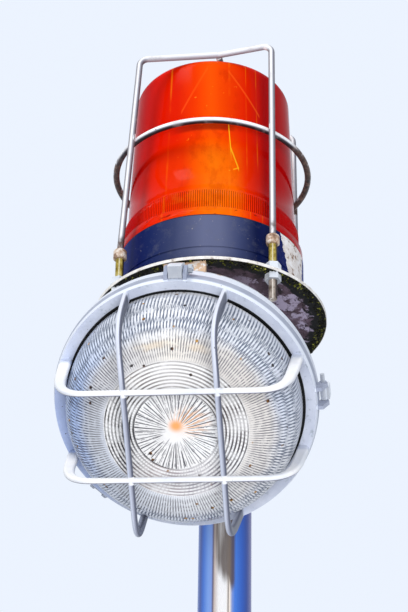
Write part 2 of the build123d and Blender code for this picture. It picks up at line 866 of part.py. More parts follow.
# Rounded collars that join each leg to its stud
with BuildPart() as guard_collars:
    with BuildSketch(level(collar_bottom)):
        with PolarLocations(leg_circle, stud_count, start_angle=45):
            Circle(collar_radius)
    extrude(amount=collar_height)
    fillet(guard_collars.edges().filter_by(GeomType.CIRCLE), collar_edge_radius)
    for foot_height, bore in ((collar_bottom, stud_radius), (hoop_foot, wire_radius)):
        with BuildSketch(level(foot_height)):
            with PolarLocations(leg_circle, stud_count, start_angle=45):
                Circle(bore + thread_clearance)
        extrude(amount=collar_height / 2, mode=Mode.SUBTRACT)
finish(guard_collars.part, "guard_collars")

# Threaded studs through the plate
with BuildPart() as guard_studs:
    with BuildSketch(level(-stud_tail)):
        with PolarLocations(leg_circle, stud_count, start_angle=45):
            Circle(stud_radius)
    extrude(amount=stud_tail + hoop_foot)
finish(guard_studs.part, "guard_studs")

# Washers and nuts on and under the plate
ring_pieces = {
    "guard_washers": (plate_top, washer_thickness),
    "guard_upper_nuts": (plate_top + washer_thickness, nut_height),
    "guard_lower_nuts": (-nut_height, nut_height),
}
for piece_name, (bottom, height) in ring_pieces.items():
    with BuildPart() as ring_piece:
        with BuildSketch(level(bottom)):
            with PolarLocations(leg_circle, stud_count, start_angle=45):
                if piece_name == "guard_washers":
                    Circle(washer_radius)
                else:
                    RegularPolygon(nut_width / 2, 6, major_radius=False)
                Circle(stud_radius + thread_clearance, mode=Mode.SUBTRACT)
        extrude(amount=height)
    finish(ring_piece.part, piece_name)
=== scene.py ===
import json
import math
import random

import bpy
from mathutils import Matrix, Vector


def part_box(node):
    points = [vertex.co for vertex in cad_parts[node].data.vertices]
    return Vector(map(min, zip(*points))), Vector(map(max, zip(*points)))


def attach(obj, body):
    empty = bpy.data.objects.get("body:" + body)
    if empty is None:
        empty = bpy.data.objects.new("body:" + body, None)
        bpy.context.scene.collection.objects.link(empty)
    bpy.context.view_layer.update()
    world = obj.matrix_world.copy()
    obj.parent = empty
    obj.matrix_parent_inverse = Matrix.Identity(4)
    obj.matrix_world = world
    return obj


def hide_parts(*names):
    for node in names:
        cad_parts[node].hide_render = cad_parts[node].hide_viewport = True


# Looks of the warning light pole, in metres in the row frame:
# +Z up, origin on the post's axis at the ground, the lamp looking towards -Y and down.

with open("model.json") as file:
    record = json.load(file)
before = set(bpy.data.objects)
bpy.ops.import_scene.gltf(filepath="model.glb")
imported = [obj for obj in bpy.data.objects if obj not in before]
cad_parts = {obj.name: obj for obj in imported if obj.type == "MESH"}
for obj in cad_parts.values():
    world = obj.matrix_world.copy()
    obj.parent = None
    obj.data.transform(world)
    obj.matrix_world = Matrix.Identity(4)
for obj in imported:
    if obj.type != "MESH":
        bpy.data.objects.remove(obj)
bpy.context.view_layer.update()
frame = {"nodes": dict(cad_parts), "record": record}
rng = random.Random(11)
MM = 0.001

# Driving sizes, as in the solids
PLATE_UNDERSIDE = 2.6675
PLATE_RADIUS = 108 * MM
PLATE_CENTRE = Vector((0, -83.85 * MM, PLATE_UNDERSIDE))
POST_RADIUS = 24.15 * MM
LAMP_CENTRE = Vector((0, -182.75 * MM, 2528.9 * MM))
LAMP_TILT = math.radians(52.5)
LAMP_TWIST = math.radians(4)
RIM_RADIUS = 113.2 * MM
BAR_SPACING = 39 * MM
LEG_CIRCLE = 100 * MM
RING_HEIGHT = 166.5 * MM
COLLAR_BOTTOM = PLATE_UNDERSIDE + 32.7 * MM
STUD_ANGLES = [math.radians(45 + 90 * turn) for turn in range(4)]

# Pressed glass, in millimetres: a star of cuts and raised rings on its front, fine flutes down to its foot
GLASS_FLUTES = 204
GLASS_STAR_CUTS = 54
GLASS_STAR_RADIUS = 35.8
GLASS_RINGS_RADIUS = 60
GLASS_RING_COUNT = 8
GLASS_APEX = 66.5
GLASS_FOOT = (100.6, 4.3)
GLASS_FULLNESS = 3.5
GLASS_FLANGE = 108.6
GLASS_WALL = 4.5
GLASS_CUT = 0.35

# Red-orange lens, in millimetres over the plate's underside: ribbed band, smooth foot and tapering wall
LENS_RIBS = 250
LENS_BOTTOM = 63.7
LENS_FOOT = (86.5, 72.7)
LENS_BAND = (83, 94.5)
LENS_WAIST = (79.8, 97.5)
LENS_TOP = (74.5, 257.5)
LENS_CROWN = 258
LENS_EDGE = 11
LENS_SWELL = 0.3
LENS_CHAMFER = 0.5
LENS_WALL = 2.6
LENS_RIB_DEPTH = 0.6
LENS_GIRTH = 500

# Studs with their threads, in millimetres over the plate's underside
STUD_TOP = 38
STUD_BOTTOM = -26
STUD_RADIUS = 4
STUD_CHAMFER = 0.5
THREAD_PITCH = 1.25
THREAD_DEPTH = 0.6

# Moss on the plate's rim, in millimetres; each level is a share of a clump's height and of its width
MOSS_CLUMPS = 900
MOSS_INNER, MOSS_OUTER, MOSS_DENSEST = 97, 107.3, 105
MOSS_LEVELS = ((0, 1.0), (0.6, 0.8), (1.0, 0.25))

# Weld beads, in millimetres
GUARD_FRONT_WELDS = ((-62.1, -76.7), (70.4, -70.2))
GUARD_REAR_WELD_CIRCLE = 99
POST_WELD_BEADS = 56
STRAP_WELD_BEADS = 19

# The camera as it was fitted to the photograph, and what the lights are aimed at
CAMERA_PLACE = Vector((0.3288, -1.73835, 1.5954))
CAMERA_HEADING = math.radians(11.44)
CAMERA_RISE = math.radians(32.92)
CAMERA_ROLL = math.radians(0.9)
CAMERA_LENS = 126.97
HEAD = Vector((0, -0.1, 2.65))


def lamp_frame_matrix():
    """The lamp's own frame: x to the right, y up along the glass, z the way it looks."""
    ahead = Vector((0, -math.cos(LAMP_TILT), -math.sin(LAMP_TILT)))
    across = Vector((1, 0, 0))
    upward = ahead.cross(across)
    right = across * math.cos(LAMP_TWIST) - upward * math.sin(LAMP_TWIST)
    place = Matrix((right, ahead.cross(right), ahead)).transposed().to_4x4()
    place.translation = LAMP_CENTRE
    return place


LAMP_PLACE = lamp_frame_matrix()
BEACON_PLACE = Matrix.Translation(PLATE_CENTRE)


# Node materials


def tone(red, green, blue):
    """A screen colour from 0 to 255 in the linear values that shaders take."""
    return tuple(
        c / 255 / 12.92 if c <= 10 else ((c / 255 + 0.055) / 1.055) ** 2.4 for c in (red, green, blue)
    ) + (1.0,)


class Look:
    """A node material whose patterns lie in the object's own space."""

    def __init__(self, name, **settings):
        self.material = bpy.data.materials.new(name)
        self.material.use_nodes = True
        tree = self.material.node_tree
        self.nodes, self.links = tree.nodes, tree.links
        self.nodes.clear()
        output = self.nodes.new("ShaderNodeOutputMaterial")
        self.shader = self.nodes.new("ShaderNodeBsdfPrincipled")
        self.links.new(self.shader.outputs[0], output.inputs["Surface"])
        self.place = self.nodes.new("ShaderNodeTexCoord").outputs["Object"]
        for setting, value in settings.items():
            self.set(setting.replace("_", " "), value)

    def feed(self, socket, value):
        """Link an output to the socket, or set the socket's own value."""
        if isinstance(value, bpy.types.NodeSocket):
            self.links.new(value, socket)
        else:
            socket.default_value = value

    def set(self, socket, value):
        self.feed(self.shader.inputs[socket], value)

    def bump(self, height, distance):
        node = self.nodes.new("ShaderNodeBump")
        node.inputs["Distance"].default_value = distance
        node.inputs["Strength"].default_value = 1.0
        self.feed(node.inputs["Height"], height)
        self.set("Normal", node.outputs[0])

    # Sums

    def maths(self, operation, *values):
        node = self.nodes.new("ShaderNodeMath")
        node.operation = operation
        for socket, value in zip(node.inputs, values):
            self.feed(socket, value)
        return node.outputs[0]

    def chained(self, operation, values):
        """One value from several, by an operation that takes them from left to right."""
        total = values[0]
        for value in values[1:]:
            total = self.maths(operation, total, value)
        return total

    def times(self, *values):
        return self.chained("MULTIPLY", values)

    def plus(self, *values):
        return self.chained("ADD", values)

    def largest(self, *values):
        return self.chained("MAXIMUM", values)

    def linear(self, value, slope, start):
        return self.maths("MULTIPLY_ADD", value, slope, start)

    def away(self, value, centre):
        """How far a value is from a centre, either way."""
        return self.maths("ABSOLUTE", self.maths("SUBTRACT", value, centre))

    def shaken(self, value, noise, reach):
        """The value moved by a noise, by up to its reach either way."""
        return self.plus(value, self.linear(noise, 2 * reach, -reach))

    def band(self, value, low, high):
        """0 at low and 1 at high, smooth between them; low may be the larger."""
        node = self.nodes.new("ShaderNodeMapRange")
        node.interpolation_type = "SMOOTHSTEP"
        self.feed(node.inputs["Value"], value)
        flip = low > high
        node.inputs["From Min"].default_value = min(low, high)
        node.inputs["From Max"].default_value = max(low, high)
        node.inputs["To Min"].default_value = 1.0 if flip else 0.0
        node.inputs["To Max"].default_value = 0.0 if flip else 1.0
        return node.outputs[0]

    def between(self, value, low, low_full, high_full, high):
        """1 from low_full to high_full, and smoothly down to 0 at low and at high."""
        return self.times(self.band(value, low, low_full), self.band(value, high, high_full))

    def near(self, value, centre, outer, inner):
        """1 within the inner distance of a centre, and smoothly down to 0 at the outer distance."""
        return self.band(self.away(value, centre), outer, inner)

    # Colours

    def mix(self, share, a, b):
        node = self.nodes.new("ShaderNodeMix")
        node.data_type = "RGBA"
        self.feed(node.inputs[0], share)
        self.feed(node.inputs[6], a)
        self.feed(node.inputs[7], b)
        return node.outputs[2]

    def over(self, colour, shade, *shares):
        """A shade laid over the colour, as strongly as the product of its shares."""
        return self.mix(self.times(*shares), colour, shade)

    def clouded(self, noise, low, high, first, second):
        """The first colour where a noise is low and the second where it is high."""
        return self.mix(self.band(noise, low, high), first, second)

    def ramp(self, value, *stops):
        """A colour ramp; each stop is a place from 0 to 1 and a screen colour's red, green and blue."""
        node = self.nodes.new("ShaderNodeValToRGB")
        elements = node.color_ramp.elements
        while len(elements) < len(stops):
            elements.new(0.5)
        for element, (position, *screen_colour) in zip(elements, stops):
            element.position = position
            element.color = tone(*screen_colour)
        self.feed(node.inputs[0], value)
        return node.outputs[0]

    # Places and patterns

    def vector_maths(self, operation, a, b, output="Vector"):
        node = self.nodes.new("ShaderNodeVectorMath")
        node.operation = operation
        self.feed(node.inputs[0], a)
        self.feed(node.inputs[1], b)
        return node.outputs[output]

    def axes(self):
        node = self.nodes.new("ShaderNodeSeparateXYZ")
        self.feed(node.inputs[0], self.place)
        return node.outputs[0], node.outputs[1], node.outputs[2]

    def scaled(self, stretch):
        """The object's own place, stretched along its axes."""
        return self.vector_maths("MULTIPLY", self.place, stretch)

    def distance(self, point, stretch=(1, 1, 1)):
        """Distance from a point, with the space stretched first."""
        stretched = [p * s for p, s in zip(point, stretch)]
        return self.vector_maths("DISTANCE", self.scaled(stretch), stretched, "Value")

    def along(self, axis, origin):
        """Distance from the origin along an axis."""
        reach = self.vector_maths("DOT_PRODUCT", self.place, axis, "Value")
        return self.maths("SUBTRACT", reach, axis.dot(origin))

    def placed_in(self, place):
        """The place as seen in a frame of its own."""
        node = self.nodes.new("ShaderNodeCombineXYZ")
        for column, socket in enumerate(node.inputs):
            self.feed(socket, self.along(place.to_3x3().col[column], place.translation))
        return node.outputs[0]

    def facing(self, axis):
        """How far the surface faces along an axis, from -1 to 1."""
        normal = self.nodes.new("ShaderNodeTexCoord").outputs["Normal"]
        return self.vector_maths("DOT_PRODUCT", normal, axis, "Value")

    def from_axis(self, point=(0, 0, 0)):
        """Distance from an upright axis through a point."""
        return self.distance(point, (1, 1, 0))

    def azimuth(self, point=(0, 0, 0)):
        """Angle round an upright axis through a point, 0.5 facing -Y, growing towards +X, from 0 to 1."""
        x, y, _ = self.axes()
        right = self.maths("SUBTRACT", x, point[0])
        towards = self.maths("SUBTRACT", point[1], y)
        return self.linear(self.maths("ARCTAN2", right, towards), 0.5 / math.pi, 0.5)

    def attribute(self, name):
        node = self.nodes.new("ShaderNodeAttribute")
        node.attribute_name = name
        return node.outputs["Fac"]

    def noise(self, scale, detail=5.0, roughness=0.6, stretch=(1, 1, 1), shift=0.0):
        """A cloudy noise from 0 to 1; each shift gives another one."""
        node = self.nodes.new("ShaderNodeTexNoise")
        node.noise_dimensions = "4D"
        node.inputs["W"].default_value = shift
        node.inputs["Scale"].default_value = scale
        node.inputs["Detail"].default_value = detail
        node.inputs["Roughness"].default_value = roughness
        self.feed(node.inputs["Vector"], self.scaled(stretch))
        return node.outputs[0]

    def cells(self, scale, output="Color"):
        node = self.nodes.new("ShaderNodeTexVoronoi")
        node.inputs["Scale"].default_value = scale
        self.feed(node.inputs["Vector"], self.place)
        return node.outputs[output]

    def stripes(self, turn, cycles, radius, pitch, wobble=0.0):
        """Waves from 0 to 1: so many round the axis, leaning by one for each pitch outwards."""
        place = self.linear(turn, cycles, self.times(radius, 1 / pitch))
        place = self.plus(place, self.times(self.noise(60, 4, 0.6, shift=21), wobble))
        return self.linear(self.maths("SINE", self.times(place, 2 * math.pi)), 0.5, 0.5)

    def slash(self, turn, height, start, end, wide):
        """A line on the lens between two places, each a turn and a height, with short soft ends."""
        soft_end = 0.002
        slope = (end[1] - start[1]) / (end[0] - start[0])
        level = self.linear(turn, slope, start[1] - slope * start[0])
        half_width = wide * math.hypot(1, slope / (LENS_GIRTH * MM))
        first, last = sorted((start[0], end[0]))
        line = self.near(height, level, half_width, half_width * 0.35)
        return self.times(line, self.between(turn, first - soft_end, first, last, last + soft_end))


def make_stainless():
    look = Look("stainless", Metallic=0.9)
    fine = look.noise(60, 5, stretch=(1, 1, 0.08))
    colour = look.clouded(look.noise(14, 4), 0.35, 0.7, tone(176, 180, 186), tone(205, 208, 214))
    look.set("Base Color", look.clouded(fine, 0.55, 0.75, colour, tone(150, 150, 152)))
    look.set("Roughness", look.linear(fine, 0.3, 0.22))
    return look.material


def make_post():
    """Polished tube with painted reflections of sky and sun in upright streaks, and rusty drips under the
    lamp.
    """
    look = Look("polished_stainless", Metallic=0.3)
    exact = look.azimuth()
    turn = look.shaken(exact, look.noise(9, 3, stretch=(1, 1, 0.15)), 0.01)
    deep, blue, pale, white = (26, 66, 150), (84, 136, 222), (176, 190, 226), (255, 254, 252)
    # Painted reflections: bands of blue sky and white sun round the tube, set by angle.
    streaks = look.ramp(
        turn,
        (0.0, *pale), (0.07, *white), (0.13, *pale), (0.2, *deep), (0.27, *blue), (0.35, *deep),
        (0.385, 60, 112, 204), (0.425, 118, 156, 222), (0.448, 126, 154, 216), (0.458, 88, 82, 104),
        (0.468, 206, 190, 182), (0.495, *white), (0.535, *white), (0.56, 244, 230, 214),
        (0.572, 128, 150, 206), (0.59, 66, 120, 210), (0.64, 40, 90, 184), (0.68, *deep),
        (0.76, 96, 92, 150), (0.82, *blue), (0.92, *pale), (1.0, *pale),
    )
    drips_end = 2.37
    height = look.axes()[2]
    lowered = look.linear(look.band(height, drips_end, drips_end + 90 * MM), 0.5, -0.36)
    drip = look.band(look.plus(look.noise(34, 4, stretch=(1, 1, 0.05)), lowered), 0.56, 0.66)
    in_front = look.between(exact, 0.455, 0.47, 0.58, 0.6)
    above = look.band(height, drips_end, drips_end + 30 * MM)
    long_run = look.times(look.near(turn, 0.55, 0.006, 0.002), above, 0.8)
    drip = look.largest(look.times(drip, in_front), long_run)
    look.set("Base Color", look.over(streaks, tone(74, 54, 42), drip, 0.85))
    look.set("Roughness", look.linear(look.noise(220, 3, stretch=(1, 1, 0.02)), 0.25, 0.16))
    return look.material


def make_rusty_plate():
    """Purplish rust under the plate with lilac patches, a black band under the rim flecked green that is moss
    and painted shadow, and a whitish edge.
    """
    look = Look("rusty_steel", Roughness=0.85)
    black_edge = PLATE_RADIUS - 15.5 * MM
    mossy_edge = PLATE_RADIUS - 9.5 * MM
    worn_edge = PLATE_RADIUS - 0.6 * MM
    across, _, height = look.axes()
    radius = look.from_axis(PLATE_CENTRE)
    cloud = look.noise(34, 6, 0.7)
    rust = look.ramp(
        cloud, (0.34, 24, 16, 20), (0.45, 66, 50, 58), (0.57, 90, 72, 84), (0.7, 124, 106, 124)
    )
    patches = look.band(look.noise(62, 5, 0.7, shift=3), 0.5, 0.57)
    rust = look.over(rust, tone(168, 156, 178), look.band(across, 20 * MM, 75 * MM), patches)
    strokes = look.band(look.noise(130, 5, 0.7, stretch=(1, 0.45, 1), shift=7), 0.56, 0.63)
    rust = look.over(rust, tone(30, 20, 22), strokes)
    ragged = look.shaken(radius, look.noise(75, 5, 0.7, shift=1), 15 * MM)
    # The black band under the rim is moss together with painted shadow of the rim.
    black = look.clouded(look.noise(150, 4, shift=6), 0.62, 0.68, tone(6, 6, 7), tone(110, 100, 108))
    flecks = look.ramp(
        look.noise(210, 5, 0.7, shift=5),
        (0.45, 7, 7, 8), (0.56, 22, 22, 14), (0.61, 104, 106, 30), (0.7, 196, 188, 110),
    )
    rim = look.over(black, flecks, look.band(ragged, mossy_edge, mossy_edge + 3 * MM))
    under = look.over(rust, rim, look.band(ragged, black_edge, black_edge + 2 * MM))
    top = look.ramp(cloud, (0.35, 96, 86, 76), (0.6, 166, 158, 150))
    on_top = look.band(height, PLATE_UNDERSIDE + 1.2 * MM, PLATE_UNDERSIDE + 2.6 * MM)
    worn = look.ramp(
        look.noise(120, 5, 0.7, shift=9), (0.3, 120, 100, 88), (0.42, 220, 214, 208), (0.6, 250, 249, 246)
    )
    at_edge = look.band(radius, worn_edge, worn_edge + 0.3 * MM)
    look.set("Base Color", look.over(look.over(under, top, on_top), worn, at_edge))
    look.bump(look.noise(170, 6, 0.7), 0.8 * MM)
    return look.material


def make_galvanised(
    name="galvanised_steel", stained=0.15, stain=(150, 128, 108), dark=(176, 182, 190), light=(214, 219, 226)
):
    """Zinc with its spangle, with painted shade where it faces down; stained says how much of it the stain
    covers, up to 1.
    """
    look = Look(name, Metallic=0.3)
    cloud = look.noise(45, 5)
    colour = look.clouded(cloud, 0.35, 0.7, tone(*dark), tone(*light))
    colour = look.over(colour, tone(238, 242, 248), look.cells(230), 0.22)
    least = 0.62 - 0.3 * stained
    marks = look.band(look.noise(60, 5, 0.7, shift=2), least, least + 0.08)
    colour = look.over(colour, tone(*stain), marks, min(1.0, 0.5 + stained))
    # Painted shade: darker where the surface faces down.
    colour = look.over(colour, tone(70, 72, 84), look.band(look.facing((0, 0, 1)), -0.5, -0.9), 0.45)
    look.set("Base Color", colour)
    look.set("Roughness", look.linear(cloud, 0.3, 0.35))
    look.bump(look.noise(380, 3), 0.1 * MM)
    return look.material


def make_casting_paint():
    """Light grey paint over a rough casting, with painted light: level bars painted sunlit white with shaded
    undersides, upright bars greyer as painted shade and darker at their right, a painted highlight on the
    rim's edge, painted blue sky at the lower left; the outer band greyer, with dust and chips.
    """
    look = Look("painted_casting", Roughness=0.4, Specular_IOR_Level=0.4)
    bar_edge = (7.5 * MM, 6 * MM)
    cloud = look.noise(28, 5)
    mottled = look.noise(150, 5, 0.7, shift=10)
    lamp_x, lamp_y, lamp_z = LAMP_PLACE.to_3x3().transposed()
    across, upward, ahead = (look.along(axis, LAMP_CENTRE) for axis in (lamp_x, lamp_y, lamp_z))
    out = look.maths("SQRT", look.plus(look.maths("POWER", across, 2.0), look.maths("POWER", upward, 2.0)))

    colour = look.clouded(cloud, 0.3, 0.7, tone(194, 200, 216), tone(216, 221, 233))
    colour = look.over(colour, tone(162, 172, 182), look.band(mottled, 0.45, 0.3))
    colour = look.over(colour, tone(232, 238, 248), look.band(mottled, 0.56, 0.72), 0.6)
    # Painted reflection of blue sky on the frame's lower left.
    to_left = look.band(across, -50 * MM, -95 * MM)
    colour = look.over(colour, tone(168, 190, 236), to_left, look.band(upward, 80 * MM, -20 * MM), 0.6)
    band = look.clouded(cloud, 0.35, 0.65, tone(140, 148, 168), tone(164, 170, 188))
    colour = look.over(colour, band, look.band(out, RIM_RADIUS - 0.6 * MM, RIM_RADIUS))
    # Painted highlight: a pale line along the rim's outer edge.
    edge = [RIM_RADIUS + step * MM for step in (-1.7, -1.0, -0.4, 0.2)]
    colour = look.over(colour, tone(226, 232, 244), look.between(out, *edge))

    off_upright = look.away(look.maths("ABSOLUTE", across), BAR_SPACING)
    off_level = look.away(look.maths("ABSOLUTE", upward), BAR_SPACING)
    raised = look.band(ahead, 16 * MM, 22 * MM)
    # Painted light on the level bars: sunlit white, with a painted shade line on faces turned down.
    sunlit_level_bars = look.clouded(cloud, 0.35, 0.65, tone(226, 229, 236), tone(242, 242, 243))
    sunlit_level_bars = look.over(sunlit_level_bars, tone(112, 112, 134), look.band(look.facing(lamp_y), -0.25, -0.6))
    colour = look.over(colour, sunlit_level_bars, look.band(off_level, *bar_edge), raised)
    # Painted light on the upright bars: greyer as if in shade, darker at their right, with a painted
    # highlight on their upper parts.
    right = look.band(look.facing(lamp_x), -0.55, 0.75)
    shaded_upright_bars = look.ramp(
        right, (0.0, 206, 212, 228), (0.45, 164, 168, 184), (0.75, 142, 146, 162), (1.0, 88, 92, 108)
    )
    lit_end = look.times(look.band(upward, 30 * MM, 70 * MM), look.band(right, 0.95, 0.6))
    shaded_upright_bars = look.over(shaded_upright_bars, tone(216, 220, 233), lit_end)
    upright = look.times(look.band(off_upright, *bar_edge), look.band(off_level, 3 * MM, 4.2 * MM))
    colour = look.over(colour, shaded_upright_bars, upright, raised)

    dust = look.band(look.noise(120, 6, 0.75, shift=4), 0.6, 0.76)
    colour = look.over(colour, tone(150, 146, 140), dust, 0.35)
    chips = look.band(look.noise(260, 3, 0.5, shift=8), 0.71, 0.74)
    look.set("Base Color", look.over(colour, tone(96, 88, 84), chips))
    look.bump(look.noise(420, 4), 0.12 * MM)
    return look.material


def make_rubber():
    look = Look("black_rubber", Roughness=0.7)
    look.set("Base Color", look.clouded(look.noise(160, 5), 0.5, 0.75, tone(9, 9, 10), tone(30, 29, 28)))
    look.bump(look.noise(300, 3), 0.1 * MM)
    return look.material


def make_enamel():
    look = Look("white_enamel", Roughness=0.25)
    dust = look.noise(40, 5)
    look.set("Base Color", look.clouded(dust, 0.4, 0.8, tone(246, 246, 244), tone(222, 220, 214)))
    return look.material


def make_porcelain():
    look = Look("porcelain", Roughness=0.2, Coat_Weight=0.4)
    cloud = look.noise(50, 4)
    look.set("Base Color", look.clouded(cloud, 0.4, 0.7, tone(236, 230, 216), tone(206, 196, 176)))
    return look.material


def make_bulb_glass():
    look = Look("bulb_glass", Roughness=0.3, IOR=1.45, Transmission_Weight=0.45)
    cloud = look.noise(35, 4)
    look.set("Base Color", look.clouded(cloud, 0.4, 0.7, tone(250, 248, 242), tone(236, 230, 220)))
    return look.material


class GlassLook(Look):
    """The pressed glass's look, whose patterns lie round the lamp's own axis."""

    def __init__(self, name, **settings):
        super().__init__(name, **settings)
        self.place = self.placed_in(LAMP_PLACE)
        self.depth = self.axes()[2]
        self.radius = self.from_axis()
        self.exact = self.azimuth()
        self.cloud = self.noise(26, 4)
        self.turn = self.shaken(self.exact, self.noise(30, 3, shift=4), 0.04)
        self.reach = self.shaken(self.radius, self.noise(60, 3, shift=6), 6 * MM)
        self.from_top = self.maths("MINIMUM", self.turn, self.maths("SUBTRACT", 1.0, self.turn))
        self.groove = self.attribute("groove")
        star_edge = (GLASS_STAR_RADIUS - 1.2) * MM, GLASS_STAR_RADIUS * MM
        rings_edge = (GLASS_RINGS_RADIUS + 0.5) * MM, (GLASS_RINGS_RADIUS + 1.5) * MM
        self.in_star = self.band(self.radius, *reversed(star_edge))
        self.in_rings = self.between(self.radius, *star_edge, *rings_edge)
        self.outside = self.band(self.radius, *rings_edge)
        self.on_shoulder = self.band(self.reach, 76 * MM, 88 * MM)

    def body(self):
        """White at the middle, greyer over the flutes, and a painted blue sky reflection on the shoulder."""
        white = self.clouded(self.cloud, 0.35, 0.7, tone(246, 244, 242), tone(255, 255, 254))
        fluted = self.ramp(
            self.turn,
            (0.0, 250, 244, 234), (0.08, 226, 224, 224), (0.24, 206, 210, 218), (0.36, 220, 226, 236),
            (0.5, 238, 240, 244), (0.66, 234, 230, 226), (0.8, 230, 224, 218), (0.92, 224, 219, 214),
            (1.0, 250, 244, 234),
        )
        # Painted reflection of blue sky on the shoulder, strongest at the left.
        shoulder = self.ramp(
            self.turn,
            (0.0, 244, 245, 248), (0.1, 232, 238, 250), (0.2, 180, 204, 248), (0.3, 190, 210, 250),
            (0.38, 236, 241, 252), (0.55, 236, 238, 244), (0.68, 238, 238, 240), (0.77, 220, 225, 238),
            (0.86, 228, 232, 240), (1.0, 238, 240, 246),
        )
        return self.over(self.over(white, fluted, self.outside), shoulder, self.on_shoulder)

    def cut(self):
        """The painted shade of the cuts, deepest towards the left and blue with painted sky on the shoulder;
        it changes round the glass and from its middle outwards.
        """
        strong = self.ramp(
            self.turn,
            (0.0, 190, 186, 184), (0.1, 96, 88, 84), (0.2, 12, 12, 18), (0.34, 44, 40, 48),
            (0.43, 176, 162, 162), (0.56, 150, 144, 154), (0.66, 74, 70, 78), (0.86, 92, 84, 80),
            (1.0, 190, 186, 184),
        )
        cut = self.over(tone(58, 58, 68), strong, self.band(self.radius, 34.5 * MM, 36.2 * MM))
        cut = self.over(cut, tone(104, 102, 108), self.outside)
        # Painted blue sky reflection in the cuts on the shoulder, deep blue at the left.
        cut = self.over(cut, tone(76, 88, 110), self.band(self.reach, 78 * MM, 88 * MM))
        at_left = self.between(self.turn, 0.17, 0.22, 0.32, 0.37)
        return self.over(cut, tone(16, 32, 76), self.band(self.reach, 71 * MM, 77 * MM), at_left)

    def lines(self):
        """Where the cuts' painted shade shows: broken flutes outside, crossed rings, and the star with extra
        fine lines.
        """
        patchy = self.band(self.noise(85, 4, 0.7, shift=16), 0.4, 0.58)
        wavy = self.shaken(self.reach, self.noise(110, 3, shift=18), 6 * MM)
        rows = self.band(self.maths("SINE", self.times(wavy, 2 * math.pi / (5.8 * MM))), -0.8, 0.3)
        dashes = self.linear(self.largest(rows, patchy), 0.6, 0.4)
        dashes = self.times(self.band(self.groove, 0.1, 0.68), dashes)
        slanted = self.band(self.stripes(self.exact, GLASS_FLUTES, self.radius, 6.2 * MM), 0.5, 0.9)
        slanted = self.times(slanted, self.linear(patchy, 0.6, 0.3), self.linear(self.on_shoulder, 0.7, 0.3))
        flutes = self.times(self.largest(dashes, slanted), self.outside)

        # Extra fine lines of painted shade among the star's cuts.
        star_fine_lines = self.band(self.stripes(self.exact, 83, self.radius, 90 * MM, 1.2), 0.68, 0.95)
        star_lines_patchy = self.band(self.noise(150, 4, 0.7, shift=17), 0.42, 0.56)
        star_fine_lines = self.times(star_fine_lines, self.band(self.radius, 9 * MM, 17 * MM), star_lines_patchy, 0.8)
        star = self.times(self.largest(self.band(self.groove, 0.1, 0.62), star_fine_lines), self.in_star)

        crossed = self.band(self.stripes(self.exact, GLASS_FLUTES / 2, self.radius, 10.5 * MM), 0.45, 0.9)
        crossed = self.times(crossed, self.band(self.from_top, 0.08, 0.2), patchy, 0.4)
        worn = self.linear(self.band(self.noise(70, 4, 0.6, shift=19), 0.35, 0.6), 0.6, 0.4)
        rings = self.largest(self.times(self.band(self.groove, 0.05, 0.5), worn), crossed)
        return self.plus(flutes, star, self.times(rings, self.in_rings))


def make_pressed_glass():
    """Pressed glass over a white reflector: painted shade in its cuts, a warm middle painted as the lamp's
    inside seen through it, bright painted highlights round the shoulder, specks, and a dark foot painted as
    the black seal's reflection.
    """
    look = GlassLook("pressed_glass", IOR=1.5, Transmission_Weight=0.1)
    colour = look.over(look.body(), look.cut(), look.lines())
    # Painted highlight: a white band round the shoulder, near the top.
    arc = look.near(look.reach, 80.5 * MM, 4.5 * MM, 1.5 * MM)
    hazy = look.band(look.noise(48, 4, 0.6, shift=22), 0.4, 0.6)
    colour = look.over(colour, tone(255, 255, 255), arc, look.band(look.from_top, 0.11, 0.05), hazy, 0.75)
    tanned = look.near(look.reach, 73.5 * MM, 4 * MM, 1 * MM)
    patches = look.times(look.band(look.from_top, 0.09, 0.04), look.band(look.cloud, 0.42, 0.6))
    colour = look.over(colour, tone(238, 214, 178), tanned, patches, 0.45)
    # Painted shade: a dark line round the star's edge, stronger towards the left.
    hub = look.near(look.radius, 35.2 * MM, 0.7 * MM, 0.3 * MM)
    at_left = look.linear(look.between(look.turn, 0.05, 0.16, 0.42, 0.52), 0.7, 0.2)
    colour = look.over(colour, tone(28, 28, 36), hub, at_left)
    # Painted light: warm streaks and an orange glow at the middle, standing for the lamp's inside seen
    # through the glass.
    streaks = look.band(look.stripes(look.exact, 33, look.radius, 50 * MM, 2.2), 0.35, 0.75)
    warm = look.band(look.distance((12 * MM, 7 * MM, 0), (0.8, 1, 0)), 18 * MM, 4 * MM)
    colour = look.over(colour, tone(250, 178, 110), warm, streaks, 0.6)
    glow = look.band(look.distance((0.5 * MM, 4.2 * MM, 0), (1, 1.1, 0)), 8.5 * MM, 1.5 * MM)
    colour = look.over(colour, tone(255, 166, 74), glow, 0.9)
    specks = look.band(look.cells(105, "Distance"), 0.2, 0.12)
    few = look.band(look.noise(34, 2, shift=12), 0.5, 0.54)
    brown = look.ramp(
        look.noise(90, 2, shift=14), (0.44, 22, 12, 10), (0.54, 96, 60, 28), (0.64, 196, 146, 62)
    )
    colour = look.over(colour, brown, specks, few)
    colour = look.over(colour, tone(214, 210, 204), look.band(look.depth, 14.5 * MM, 11.5 * MM), 0.5)
    # Painted reflection of the black seal in the glass's foot, stronger near the top.
    seal_edge = look.linear(look.band(look.from_top, 0.04, 0.11), -2.6 * MM, look.depth)
    colour = look.over(colour, tone(8, 12, 18), look.band(seal_edge, 8.4 * MM, 7.2 * MM))
    look.set("Base Color", colour)
    look.set("Roughness", look.linear(look.groove, 0.3, 0.16))
    return look.material


